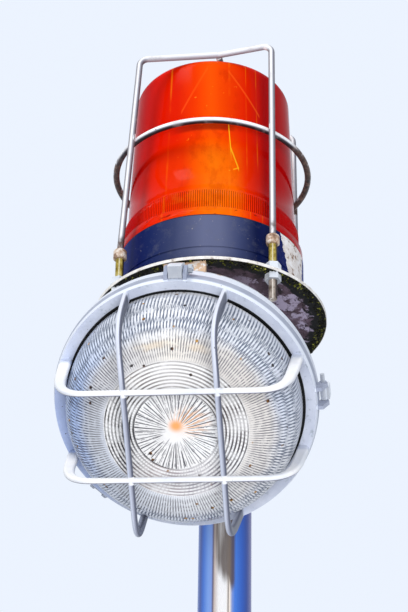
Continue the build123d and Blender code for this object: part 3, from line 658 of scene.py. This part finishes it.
def make_navy_plastic():
    """Navy plastic, paler in front with dust and a painted highlight, with painted blue sky reflection at its
    sides, specked, and chalky at its right.
    """
    look = Look("navy_plastic", Specular_IOR_Level=0.05)
    height = look.axes()[2]
    turn = look.azimuth(PLATE_CENTRE)
    # Painted light by angle round the base: vivid blue sky reflection at the sides, and a paler front that is
    # dust together with a painted highlight.
    colour = look.ramp(
        look.shaken(turn, look.noise(16, 4, stretch=(1, 1, 0.2)), 0.015),
        (0.3, 8, 34, 120), (0.39, 4, 18, 78), (0.42, 18, 32, 82), (0.465, 52, 60, 94),
        (0.515, 92, 98, 128), (0.545, 90, 96, 126), (0.58, 56, 64, 100), (0.61, 12, 22, 62),
        (0.65, 4, 18, 78), (0.75, 8, 34, 120),
    )
    fine = look.noise(90, 6, 0.75, shift=2)
    colour = look.over(colour, tone(96, 98, 110), look.band(fine, 0.5, 0.8), 0.5)
    dots = look.band(look.noise(420, 3, 0.6, shift=5), 0.66, 0.72)
    patch_centre = PLATE_CENTRE + Vector((12, -86, 40)) * MM
    patch = look.band(look.distance(patch_centre), 45 * MM, 10 * MM)
    colour = look.over(colour, tone(184, 178, 172), dots, look.linear(patch, 0.7, 0.25))
    ragged = look.shaken(turn, look.noise(90, 5, 0.7, shift=8), 0.015)
    slant = look.linear(look.maths("SUBTRACT", PLATE_UNDERSIDE + LENS_BOTTOM * MM, height), 0.58, 0.66)
    chalk = look.ramp(
        look.noise(150, 5, 0.7, shift=3), (0.38, 130, 92, 66), (0.44, 222, 214, 208), (0.6, 246, 244, 244)
    )
    right_of_slant = look.maths("GREATER_THAN", ragged, slant)
    colour = look.over(colour, chalk, right_of_slant, look.maths("LESS_THAN", ragged, 0.745))
    look.set("Base Color", colour)
    look.set("Roughness", look.linear(fine, 0.3, 0.3))
    return look.material


def lens_shades(look, turn, height):
    """Painted shading: deep red at the lens's sides and orange in front, stronger in its lower half."""
    deep = (196, 6, 8)
    upper = look.ramp(
        turn,
        (0.36, *deep), (0.42, 226, 22, 0), (0.46, 226, 30, 0), (0.495, 238, 56, 0),
        (0.528, 248, 84, 2), (0.56, 240, 64, 0), (0.595, 234, 36, 0), (0.64, *deep),
    )
    lower = look.ramp(
        turn,
        (0.36, *deep), (0.42, 238, 36, 0), (0.475, 236, 52, 0), (0.51, 252, 100, 2),
        (0.53, 255, 120, 6), (0.575, 255, 102, 0), (0.6, 242, 46, 0), (0.64, *deep),
    )
    return look.over(upper, lower, look.band(height, 165 * MM, 130 * MM))


def lens_inner_edges(look, colour, turn, height):
    """Painted light over the lens's colour: upright highlight streaks, and the slanted edges of what is
    inside the lens, painted as seen through it.
    """
    broken = look.band(look.noise(30, 3, stretch=(1, 1, 0.4), shift=4), 0.4, 0.6)
    # Painted highlights: thin upright bright lines.
    for place, half_width in ((0.442, 0.0028), (0.5635, 0.003), (0.5985, 0.0016), (0.622, 0.0016)):
        streak = look.near(turn, place, half_width, half_width * 0.4)
        colour = look.over(colour, tone(255, 134, 14), streak, broken, 0.5)
    faint = tone(255, 104, 30)
    bright = tone(255, 196, 30)
    # Painted reflections: slanted lines of the inner edges seen through the lens.
    for start, end, wide, share, shade in (
        ((0.519, 0.2433), (0.468, 0.193), 0.0014, 0.4, faint),
        ((0.563, 0.2398), (0.628, 0.195), 0.0014, 0.5, faint),
        ((0.5625, 0.17), (0.566, 0.147), 0.0007, 0.85, bright),
        ((0.566, 0.147), (0.581, 0.124), 0.0009, 0.85, bright),
        ((0.581, 0.1245), (0.572, 0.122), 0.0009, 0.7, bright),
    ):
        colour = look.over(colour, shade, look.slash(turn, height, start, end, wide), share)
    return colour


def make_orange_lens():
    """Clear red-orange plastic with painted shading, painted highlight streaks, flecks, inner edges painted
    as seen through it and a painted shadow band; its ribs carry painted highlights and painted shade at their
    roots.
    """
    look = Look("orange_lens", IOR=1.18, Transmission_Weight=0.2, Specular_IOR_Level=0.03)
    height = look.maths("SUBTRACT", look.axes()[2], PLATE_UNDERSIDE)
    turn = look.azimuth(PLATE_CENTRE)
    in_front = look.between(turn, 0.43, 0.49, 0.56, 0.6)
    cloud = look.noise(20, 4, stretch=(1, 1, 0.35))
    colour = lens_shades(look, look.shaken(turn, cloud, 0.015), height)
    blotches = look.band(look.noise(42, 5, 0.7, stretch=(1, 1, 0.6), shift=11), 0.5, 0.64)
    colour = look.over(colour, tone(196, 26, 0), blotches, in_front, 0.35)
    # Painted shadow of the guard's ring: a dark red band round the lens, patchy, in front.
    arc = look.near(height, 171 * MM, 6 * MM, 2 * MM)
    patchy = look.band(look.noise(36, 3, shift=13), 0.4, 0.56)
    colour = look.over(colour, tone(120, 8, 4), arc, patchy, in_front, 0.6)
    colour = lens_inner_edges(look, colour, turn, height)
    flecks = look.band(look.noise(190, 4, 0.6, shift=15), 0.66, 0.72)
    colour = look.over(colour, tone(255, 170, 50), flecks, in_front, 0.7)
    in_band = look.between(height, 81 * MM, 83 * MM, LENS_BAND[1] * MM, (LENS_BAND[1] + 2) * MM)
    # Painted highlights on the ribs, in front.
    golden = look.band(look.noise(70, 4, 0.7, shift=16), 0.42, 0.6)
    colour = look.over(colour, tone(255, 116, 14), in_band, in_front, golden, 0.5)
    # Painted shade in the ribs' grooves.
    root = look.clouded(cloud, 0.4, 0.6, tone(84, 0, 0), tone(156, 10, 0))
    colour = look.over(colour, root, look.band(look.attribute("groove"), 0.42, 0.9), 0.92)
    dirt = look.band(look.noise(95, 5, 0.7, stretch=(1, 1, 3), shift=17), 0.58, 0.66)
    colour = look.over(colour, tone(104, 14, 4), look.band(height, 81 * MM, 76 * MM), dirt, 0.7)
    look.set("Base Color", colour)
    look.set("Roughness", look.linear(cloud, 0.06, 0.05))
    return look.material


def make_dark_plastic():
    look = Look("dark_plastic", Roughness=0.5)
    look.set("Base Color", look.clouded(look.noise(60, 4), 0.4, 0.7, tone(34, 34, 36), tone(58, 56, 56)))
    return look.material


def make_mirror():
    look = Look("mirror_metal", Metallic=1.0)
    cloud = look.noise(40, 5)
    look.set("Base Color", look.clouded(cloud, 0.4, 0.7, tone(226, 226, 226), tone(200, 200, 196)))
    look.set("Roughness", look.linear(cloud, 0.15, 0.05))
    return look.material


def make_wire():
    """Dull zinc on the guard, painted lit at each wire's left and shaded at its right, the ring painted lit
    on top and black below, patchy black and brown behind, rusty at its feet.
    """
    look = Look("guard_wire", Metallic=0.1)
    height = look.axes()[2]
    cloud = look.noise(70, 5)
    # Painted light on the wires: lit at their left, in shade at their right.
    zinc = look.ramp(
        look.band(look.facing((0.93, 0.25, -0.3)), -0.95, 0.95),
        (0.0, 120, 116, 122), (0.16, 226, 226, 230), (0.3, 252, 252, 252), (0.5, 228, 229, 233),
        (0.68, 166, 166, 176), (1.0, 82, 76, 84),
    )
    # Painted light on the ring: lit on top, black shade below.
    lit_above = look.ramp(
        look.band(look.facing((0, 0, 1)), -1.0, 0.6),
        (0.0, 24, 20, 24), (0.05, 60, 56, 62), (0.16, 170, 170, 178), (0.34, 246, 247, 250),
        (1.0, 252, 252, 252),
    )
    at_ring = look.near(height, PLATE_UNDERSIDE + RING_HEIGHT, 4.5 * MM, 3.5 * MM)
    inside = look.band(look.from_axis(PLATE_CENTRE), 98.5 * MM, 97.5 * MM)
    zinc = look.over(zinc, lit_above, at_ring, inside)
    zinc = look.over(zinc, tone(176, 172, 172), look.band(cloud, 0.5, 0.7), 0.4)
    # Patchy dark brown and black on the rear of the ring.
    front = look.between(look.azimuth(PLATE_CENTRE), 0.32, 0.35, 0.67, 0.7)
    patchy_behind = look.band(look.noise(90, 4, shift=9), 0.36, 0.5)
    behind = look.times(at_ring, patchy_behind, look.maths("SUBTRACT", 1.0, front))
    low = look.band(height, PLATE_UNDERSIDE + 62.5 * MM, PLATE_UNDERSIDE + 49.5 * MM)
    foot = look.times(low, look.band(look.noise(110, 4, shift=5), 0.35, 0.6))
    specks = look.band(look.noise(150, 5, 0.7, shift=7), 0.64, 0.7)
    rust = look.ramp(
        look.noise(160, 5, 0.7, shift=3), (0.35, 30, 20, 18), (0.5, 74, 52, 44), (0.7, 140, 112, 96)
    )
    look.set("Base Color", look.over(zinc, rust, look.largest(behind, foot, specks)))
    look.set("Roughness", look.linear(cloud, 0.3, 0.3))
    return look.material


def make_old_brass():
    """Tarnished brass with a painted highlight down it and painted shade at its right, rusty on the collars
    and dull under the plate.
    """
    look = Look("old_brass", Metallic=0.35)
    height = look.axes()[2]
    cloud = look.noise(120, 5, 0.7)
    # Painted light by facing: a bright highlight line and a shaded right edge, on the brass and on the dull
    # part alike.
    side = look.band(look.facing((0.98, 0.2, 0)), -1.0, 1.0)
    brass = look.ramp(cloud, (0.35, 112, 92, 30), (0.5, 190, 168, 74), (0.65, 226, 214, 150))
    streak = look.ramp(side, (0.0, 0, 0, 0), (0.3, 0, 0, 0), (0.44, 230, 230, 230), (0.56, 0, 0, 0))
    brass = look.over(brass, tone(250, 244, 222), streak)
    brass = look.over(brass, tone(54, 40, 26), look.band(side, 0.78, 0.98))
    rust = look.ramp(
        look.noise(200, 5, 0.7, shift=2), (0.35, 104, 76, 60), (0.48, 190, 156, 130), (0.6, 236, 224, 210)
    )
    on_collar = look.band(height, COLLAR_BOTTOM - 0.7 * MM, COLLAR_BOTTOM + 0.3 * MM)
    dull = look.ramp(cloud, (0.35, 120, 104, 88), (0.6, 206, 192, 180))
    dull = look.over(dull, tone(248, 240, 228), look.near(side, 0.42, 0.14, 0.05))
    dull = look.over(dull, tone(56, 42, 40), look.band(side, 0.72, 0.95))
    below = look.band(height, PLATE_UNDERSIDE - 1 * MM, PLATE_UNDERSIDE - 5 * MM)
    look.set("Base Color", look.over(look.over(brass, rust, on_collar), dull, below))
    look.set("Roughness", look.linear(cloud, 0.3, 0.3))
    look.bump(look.noise(260, 5, 0.7), 0.25 * MM)
    return look.material


def make_moss():
    look = Look("moss", Roughness=0.95)
    look.set("Base Color", look.ramp(
        look.noise(170, 5, 0.7),
        (0.4, 6, 6, 6), (0.54, 22, 22, 12), (0.6, 100, 104, 28), (0.7, 204, 196, 110),
    ))
    return look.material


LOOKS = {
    "stainless": make_stainless(),
    "polished_stainless": make_post(),
    "rusty_steel": make_rusty_plate(),
    "galvanised_steel": make_galvanised(),
    "painted_casting": make_casting_paint(),
    "black_rubber": make_rubber(),
    "white_enamel": make_enamel(),
    "porcelain": make_porcelain(),
    "bulb_glass": make_bulb_glass(),
    "pressed_glass": make_pressed_glass(),
    "navy_plastic": make_navy_plastic(),
    "orange_lens": make_orange_lens(),
    "dark_plastic": make_dark_plastic(),
    "mirror_metal": make_mirror(),
    "guard_wire": make_wire(),
    "old_brass": make_old_brass(),
}
BRIGHT_ZINC = make_galvanised("bright_zinc", 0.05, (120, 104, 96), (212, 218, 228), (246, 249, 252))
OWN_LOOKS = {
    "hanger_strap": make_galvanised("stained_strap", 0.7, (222, 186, 152), (236, 226, 216), (252, 250, 248)),
    "guard_upper_nuts": BRIGHT_ZINC,
    "guard_lower_nuts": BRIGHT_ZINC,
    "guard_washers": BRIGHT_ZINC,
    "latch_clips": BRIGHT_ZINC,
    "lamp_disc": make_galvanised("rusty_disc", 0.35, (168, 134, 106)),
}
for part in frame["record"]["subparts"]:
    materials = frame["nodes"][part["node"]].data.materials
    materials.clear()
    materials.append(OWN_LOOKS.get(part["node"], LOOKS[part["material_slot"]]))


# Meshes


def show(name, points, faces, place, body, material, grooves=None):
    """A mesh object made at a place and riding on a body; its own frame is the row frame."""
    mesh = bpy.data.meshes.new(name)
    mesh.from_pydata(points, [], faces)
    mesh.materials.append(material)
    if grooves:
        layer = mesh.attributes.new("groove", "FLOAT", "POINT")
        layer.data.foreach_set("value", grooves)
    mesh.validate()
    mesh.shade_smooth()
    mesh.set_sharp_from_angle(angle=math.radians(50))
    thing = bpy.data.objects.new(name, mesh)
    bpy.context.scene.collection.objects.link(thing)
    mesh.transform(place)
    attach(thing, body)
    return thing


def polar(radius, angle, height=0.0):
    return Vector((radius * math.cos(angle), radius * math.sin(angle), height))


def corners_between(start, rows, sides):
    """The corners of each face between rows of points: here and the next, then both in the next row."""
    for row in range(rows):
        for side in range(sides):
            low = start + row * sides
            after = (side + 1) % sides
            yield low + side, low + after, low + sides + side, low + sides + after


class Turned:
    """A mesh in metres turned round z from shapes in millimetres; counts may differ by a whole factor."""

    def __init__(self):
        self.points, self.grooves, self.faces = [], [], []
        self.last = None

    def ring(self, count, shape):
        """shape gives the radius, the height and the groove's depth share at an angle."""
        start = len(self.points)
        for step in range(count):
            angle = 2 * math.pi * step / count
            radius, height, groove = shape(angle)
            self.points.append(polar(radius * MM, angle, height * MM))
            self.grooves.append(groove)
        ring = range(start, start + count)
        if self.last is not None:
            self.join(self.last, ring)
        self.last = ring

    def plain(self, count, radius, height):
        self.ring(count, lambda angle: (radius, height, 0))

    def join(self, inner, outer):
        steps = max(len(inner), len(outer))
        for step in range(steps):
            a0 = inner[step * len(inner) // steps]
            a1 = inner[((step + 1) * len(inner) // steps) % len(inner)]
            b0 = outer[step * len(outer) // steps]
            b1 = outer[((step + 1) * len(outer) // steps) % len(outer)]
            corners = []
            for corner in (a0, b0, b1, a1):
                if corner not in corners:
                    corners.append(corner)
            if len(corners) > 2:
                self.faces.append(corners)


def dome(share, inset=0.0):
    """Radius and height on the glass's flat-fronted section, share 0 at its middle and 1 at its foot."""
    angle = math.pi / 2 * share
    radius = (GLASS_FOOT[0] - inset) * math.sin(angle) ** (2 / GLASS_FULLNESS)
    height = GLASS_FOOT[1] + (GLASS_APEX - inset - GLASS_FOOT[1]) * math.cos(angle) ** (2 / GLASS_FULLNESS)
    return radius, height


def dome_height(radius):
    rest = 1 - (radius / GLASS_FOOT[0]) ** GLASS_FULLNESS
    return GLASS_FOOT[1] + (GLASS_APEX - GLASS_FOOT[1]) * rest ** (1 / GLASS_FULLNESS)


def dome_share(radius):
    return math.asin((radius / GLASS_FOOT[0]) ** (GLASS_FULLNESS / 2)) * 2 / math.pi


def star_cuts(count):
    """Cuts of the star: angle, half width, inner radius, outer radius and strength."""
    cuts = []
    for step in range(count):
        angle = 2 * math.pi * (step + rng.uniform(-0.15, 0.15)) / count
        start = rng.choice((7, 9, 12, 16)) + rng.uniform(-1.5, 1.5)
        end = GLASS_STAR_RADIUS - rng.choice((0.4, 0.8, 3))
        cuts.append((angle, rng.uniform(0.5, 0.85), start, end, rng.uniform(0.5, 1.0)))
    return cuts


def star_ring(cuts, radius):
    """A ring of the star, whose cuts widen outwards and fade in at their inner ends."""
    fade_length = 4

    def shape(angle):
        depth = 0.0
        for cut_angle, half_width, start, end, strength in cuts:
            apart = abs((angle - cut_angle + math.pi) % (2 * math.pi) - math.pi) * radius
            wide = half_width * (0.5 + 0.7 * radius / GLASS_STAR_RADIUS)
            if apart < wide and start < radius < end:
                fade = min(1.0, (radius - start) / fade_length)
                depth = max(depth, strength * fade * (1 - apart / wide))
        return radius, dome_height(radius) - GLASS_CUT * depth, depth
    return shape


def raised_ring(radius):
    """A ring of the raised rings' waves, with a faint crossing of flutes in its groove share."""
    across = (radius - GLASS_STAR_RADIUS) / (GLASS_RINGS_RADIUS - GLASS_STAR_RADIUS) * GLASS_RING_COUNT
    depth = (0.5 + 0.5 * math.cos(2 * math.pi * across)) ** 3
    height = dome_height(radius) - GLASS_CUT * depth

    def shape(angle):
        hazy = 0.5 + 0.5 * math.cos(2 * angle - 0.6)
        crossing = 0.22 * hazy * (0.5 + 0.5 * math.sin(GLASS_FLUTES / 2 * angle + 0.9 * across))
        return radius, height, min(1.0, depth + crossing * (1 - depth))
    return shape


def fluted_ring(share, full):
    """A ring whose flutes cut inwards along the section's own normal."""
    radius, height = dome(share)
    rise = GLASS_APEX - GLASS_FOOT[1]
    slope = GLASS_FULLNESS - 1
    outward = Vector((
        (radius / GLASS_FOOT[0]) ** slope / GLASS_FOOT[0],
        (max(0.0, height - GLASS_FOOT[1]) / rise) ** slope / rise,
    )).normalized()

    def shape(angle):
        wave = (0.5 + 0.5 * math.cos(GLASS_FLUTES * angle)) ** 2.2 * full
        inward = GLASS_CUT * wave
        return radius - inward * outward.x, height - inward * outward.y, 0.8 * wave
    return shape


def make_glass():
    glass = Turned()
    cuts = star_cuts(GLASS_STAR_CUTS)
    star_count = GLASS_FLUTES * 3
    ring_count = GLASS_FLUTES * 3 // 2
    flute_count = GLASS_FLUTES * 6
    star_steps, ring_steps, flute_steps, inner_steps = 22, GLASS_RING_COUNT * 8, 20, 10
    star_margin, flute_margin = 0.2, 0.6

    glass.plain(1, 0, GLASS_APEX)
    for step in range(1, star_steps + 1):
        glass.ring(star_count, star_ring(cuts, GLASS_STAR_RADIUS * step / star_steps - star_margin))
    for step in range(ring_steps + 1):
        radius = GLASS_STAR_RADIUS + (GLASS_RINGS_RADIUS - GLASS_STAR_RADIUS) * step / ring_steps
        glass.ring(ring_count, raised_ring(radius))
    first = dome_share(GLASS_RINGS_RADIUS + flute_margin)
    for step in range(flute_steps + 1):
        share = first + (1 - first) * step / flute_steps
        full = min(1.0, 0.3 + step / 2, (flute_steps - step) / 1.5)
        glass.ring(flute_count, fluted_ring(share, full))
    glass.plain(ring_count, GLASS_FLANGE, GLASS_FOOT[1])
    glass.plain(ring_count, GLASS_FLANGE, 0)
    glass.plain(ring_count, GLASS_FOOT[0] - GLASS_WALL, 0)
    for step in range(inner_steps, 0, -1):
        glass.plain(ring_count, *dome(step / inner_steps, GLASS_WALL))
    glass.plain(1, 0, GLASS_APEX - GLASS_WALL)
    thing = show(
        "pressed_glass", glass.points, glass.faces, LAMP_PLACE, "lamp_cover",
        LOOKS["pressed_glass"], glass.grooves,
    )
    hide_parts("lamp_glass")


def rounded_edge(radius, top, corner):
    """The turn from the lens's top into its wall, from the middle outwards."""
    steps = 8
    for step in range(steps + 1):
        angle = math.radians(90 * step / steps)
        yield radius - corner + corner * math.sin(angle), top - corner + corner * math.cos(angle)


def make_lens():
    lens = Turned()
    plain_count = LENS_RIBS * 6 // 5
    rib_count = LENS_RIBS * 6
    edge_radius = LENS_TOP[0] + LENS_SWELL
    edge_top = LENS_TOP[1] + LENS_SWELL
    wall_top = LENS_TOP[1] - LENS_EDGE
    wall_steps = 5

    def ribbed(radius, height, share):
        def shape(angle):
            wave = (0.5 + 0.5 * math.cos(LENS_RIBS * angle)) ** 2 * share
            return radius - LENS_RIB_DEPTH * wave, height, wave
        lens.ring(rib_count, shape)

    lens.plain(1, 0, LENS_CROWN)
    for radius in (20, 40, 55):
        lens.plain(plain_count, radius, LENS_CROWN - (LENS_CROWN - LENS_TOP[1]) * radius / LENS_TOP[0])
    for radius, height in rounded_edge(edge_radius, edge_top, LENS_EDGE):
        lens.plain(plain_count, radius, height)
    for step in range(1, wall_steps + 1):
        down = step / wall_steps
        radius = edge_radius + (LENS_WAIST[0] - edge_radius) * down
        lens.plain(plain_count, radius, wall_top + (LENS_WAIST[1] - wall_top) * down)
    ribbed(LENS_WAIST[0] + 0.4, LENS_WAIST[1] - 0.4, 0)
    ribbed(LENS_BAND[0], LENS_BAND[1] - 0.6, 1)
    for down in (0.33, 0.66, 0.97):
        ribbed(LENS_BAND[0], LENS_BAND[1] + (LENS_FOOT[1] - LENS_BAND[1]) * down, 1)
    ribbed(LENS_BAND[0], LENS_FOOT[1], 0)
    inner_edge = rounded_edge(edge_radius - LENS_WALL, edge_top - LENS_WALL, LENS_EDGE - LENS_WALL)
    for radius, height in (
        (LENS_FOOT[0] - LENS_CHAMFER, LENS_FOOT[1]),
        (LENS_FOOT[0], LENS_FOOT[1] - LENS_CHAMFER),
        (LENS_FOOT[0], LENS_BOTTOM),
        (LENS_FOOT[0] - LENS_WALL, LENS_BOTTOM),
        (LENS_FOOT[0] - LENS_WALL, LENS_FOOT[1] - LENS_WALL),
        (LENS_BAND[0] - LENS_WALL, LENS_FOOT[1] - LENS_WALL),
        (LENS_BAND[0] - LENS_WALL, LENS_BAND[1]),
        (LENS_WAIST[0] - LENS_WALL, LENS_WAIST[1]),
        *reversed(list(inner_edge)),
        (30, LENS_CROWN - LENS_WALL - 1),
    ):
        lens.plain(plain_count, radius, height)
    lens.plain(1, 0, LENS_CROWN - LENS_WALL)
    thing = show(
        "ribbed_lens", lens.points, lens.faces, BEACON_PLACE, "mast", LOOKS["orange_lens"], lens.grooves
    )
    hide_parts("beacon_lens")


def make_studs():
    points, faces = [], []
    sides = 16
    samples = 4
    rows = int((STUD_TOP - STUD_BOTTOM) / THREAD_PITCH * samples)
    for stud_angle in STUD_ANGLES:
        centre = polar(LEG_CIRCLE, stud_angle)
        start = len(points)
        for row in range(rows + 1):
            height = STUD_BOTTOM + (STUD_TOP - STUD_BOTTOM) * row / rows
            from_end = min(height - STUD_BOTTOM, STUD_TOP - height)
            crest = STUD_RADIUS - STUD_CHAMFER * max(0.0, 1 - from_end)
            for side in range(sides):
                phase = (height / THREAD_PITCH + side / sides) % 1
                radius = crest - THREAD_DEPTH * abs(2 * phase - 1)
                points.append(centre + polar(radius * MM, 2 * math.pi * side / sides, height * MM))
        for here, after, over_here, over_after in corners_between(start, rows, sides):
            faces.append((here, after, over_after, over_here))
        faces.append(tuple(start + side for side in reversed(range(sides))))
        faces.append(tuple(start + rows * sides + side for side in range(sides)))
    thing = show("threaded_studs", points, faces, BEACON_PLACE, "mast", LOOKS["old_brass"])
    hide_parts("guard_studs")


def make_moss_clumps():
    points, faces = [], []
    sides = 6
    rows = len(MOSS_LEVELS) - 1
    for clump in range(MOSS_CLUMPS):
        angle = rng.uniform(0, 2 * math.pi)
        radius = rng.triangular(MOSS_INNER, MOSS_OUTER, MOSS_DENSEST) * MM
        size = rng.uniform(0.5, 1.5) * MM
        centre = polar(radius, angle, -0.2 * MM)
        start = len(points)
        for lift, spread in MOSS_LEVELS:
            for side in range(sides):
                turn = 2 * math.pi * side / sides + clump
                reach = size * spread * rng.uniform(0.75, 1.1)
                points.append(centre + polar(reach, turn, -size * lift))
        for here, after, under_here, under_after in corners_between(start, rows, sides):
            faces.append((after, here, under_here, under_after))
        faces.append(tuple(start + rows * sides + side for side in reversed(range(sides))))
        faces.append(tuple(start + side for side in range(sides)))
    thing = show("rim_moss", points, faces, BEACON_PLACE, "mast", make_moss())


def bead(points, faces, centre, radius):
    """Add a round weld bead of a slightly random size."""
    sides = 8
    rows = 5
    size = radius * rng.uniform(0.8, 1.15)
    start = len(points)
    for row in range(1, rows):
        from_top = math.pi * row / rows
        for side in range(sides):
            turn = 2 * math.pi * side / sides
            points.append(centre + size * polar(math.sin(from_top), turn, math.cos(from_top)))
    top = len(points)
    points.append(centre + Vector((0, 0, size)))
    points.append(centre - Vector((0, 0, size)))
    for here, after, under_here, under_after in corners_between(start, rows - 2, sides):
        faces.append((here, under_here, under_after, after))
    last = start + (rows - 2) * sides
    for side in range(sides):
        after = (side + 1) % sides
        faces.append((top, start + side, start + after))
        faces.append((top + 1, last + after, last + side))


def make_guard_welds():
    """Short upright beads on both sides of each place where the ring meets a leg."""
    points, faces = [], []
    joints = [Vector((*place, 0)) * MM for place in GUARD_FRONT_WELDS]
    joints += [polar(GUARD_REAR_WELD_CIRCLE * MM, angle) for angle in STUD_ANGLES if math.sin(angle) > 0]
    for joint in joints:
        along = Vector((-joint.y, joint.x, 0)).normalized()
        meeting = joint + Vector((0, 0, RING_HEIGHT))
        for side in (-1, 1):
            for lift in (-2.4, -1.2, 0, 1.2, 2.4):
                bead(points, faces, meeting + along * side * 2.2 * MM + Vector((0, 0, lift * MM)), 1.3 * MM)
    thing = show("guard_welds", points, faces, BEACON_PLACE, "mast", LOOKS["guard_wire"])


def make_plate_welds():
    """Beads round the post's top and along the strap's root, just under the plate."""
    points, faces = [], []
    for step in range(POST_WELD_BEADS):
        angle = 2 * math.pi * step / POST_WELD_BEADS
        bead(points, faces, polar(POST_RADIUS + 1.2 * MM, angle, PLATE_UNDERSIDE - 1.4 * MM), 2.3 * MM)
    strap_low, strap_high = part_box("hanger_strap")
    strap_y = PLATE_CENTRE.y - PLATE_RADIUS + 9.4 * MM
    for step in range(STRAP_WELD_BEADS):
        x = strap_low.x + (strap_high.x - strap_low.x) * (step + 0.5) / STRAP_WELD_BEADS
        bead(points, faces, Vector((x, strap_y, PLATE_UNDERSIDE - 1 * MM)), 1.8 * MM)
    thing = show("plate_welds", points, faces, Matrix.Identity(4), "mast", LOOKS["galvanised_steel"])


make_glass()
make_lens()
make_studs()
make_moss_clumps()
make_guard_welds()
make_plate_welds()


# Camera, floor and light


def make_camera():
    view = bpy.data.cameras.new("photo_view")
    view.lens = CAMERA_LENS
    camera = bpy.data.objects.new("photo_camera", view)
    bpy.context.scene.collection.objects.link(camera)
    ahead = Vector((
        -math.sin(CAMERA_HEADING) * math.cos(CAMERA_RISE),
        math.cos(CAMERA_HEADING) * math.cos(CAMERA_RISE),
        math.sin(CAMERA_RISE),
    ))
    level = Vector((math.cos(CAMERA_HEADING), math.sin(CAMERA_HEADING), 0))
    over = level.cross(ahead)
    right = level * math.cos(CAMERA_ROLL) + over * math.sin(CAMERA_ROLL)
    place = Matrix((right, right.cross(ahead), -ahead)).transposed().to_4x4()
    place.translation = CAMERA_PLACE
    camera.matrix_world = place
    bpy.context.scene.camera = camera


def make_floor():
    half = 6.0
    corners = [(-half, -half, 0), (half, -half, 0), (half, half, 0), (-half, half, 0)]
    mesh = bpy.data.meshes.new("floor")
    mesh.from_pydata(corners, [], [(0, 1, 2, 3)])
    look = Look("floor_paint", Roughness=0.9)
    look.set("Base Color", look.mix(look.noise(2, 2), tone(226, 228, 232), tone(232, 234, 238)))
    mesh.materials.append(look.material)
    floor = bpy.data.objects.new("floor", mesh)
    bpy.context.scene.collection.objects.link(floor)


def make_area_light(name, place, size, power, colour):
    """A soft square lamp aimed at the pole's head, unseen in reflections."""
    light = bpy.data.lights.new(name, "AREA")
    light.size = size
    light.energy = power
    light.color = colour
    lamp = bpy.data.objects.new(name, light)
    bpy.context.scene.collection.objects.link(lamp)
    lamp.location = place
    lamp.rotation_euler = (HEAD - Vector(place)).to_track_quat("-Z", "Y").to_euler()
    lamp.visible_glossy = False


def make_world():
    """Soft light from all round, brighter where it is seen directly, mirrored or through glass."""
    world = bpy.data.worlds.new("studio")
    bpy.context.scene.world = world
    world.use_nodes = True
    tree = world.node_tree
    tree.nodes.clear()
    path = tree.nodes.new("ShaderNodeLightPath")
    seen = path.outputs["Is Camera Ray"]
    for ray in ("Is Glossy Ray", "Is Transmission Ray"):
        larger = tree.nodes.new("ShaderNodeMath")
        larger.operation = "MAXIMUM"
        tree.links.new(seen, larger.inputs[0])
        tree.links.new(path.outputs[ray], larger.inputs[1])
        seen = larger.outputs[0]
    blend = tree.nodes.new("ShaderNodeMixShader")
    tree.links.new(seen, blend.inputs[0])
    lighting = ((0.86, 0.92, 1.0, 1.0), 0.42)
    visible = ((0.84, 0.9, 1.0, 1.0), 1.0)
    for socket, (colour, strength) in zip(blend.inputs[1:], (lighting, visible)):
        background = tree.nodes.new("ShaderNodeBackground")
        background.inputs["Color"].default_value = colour
        background.inputs["Strength"].default_value = strength
        tree.links.new(background.outputs[0], socket)
    output = tree.nodes.new("ShaderNodeOutputWorld")
    tree.links.new(blend.outputs[0], output.inputs["Surface"])


make_camera()
make_floor()
make_world()
make_area_light("key", place=(-1.4, -2.0, 6.0), size=1.2, power=110, colour=(1.0, 0.97, 0.92))
make_area_light("fill", place=(1.0, -3.0, 1.15), size=2.0, power=98, colour=(0.98, 0.98, 1.0))
bpy.context.scene.view_settings.view_transform = "Standard"
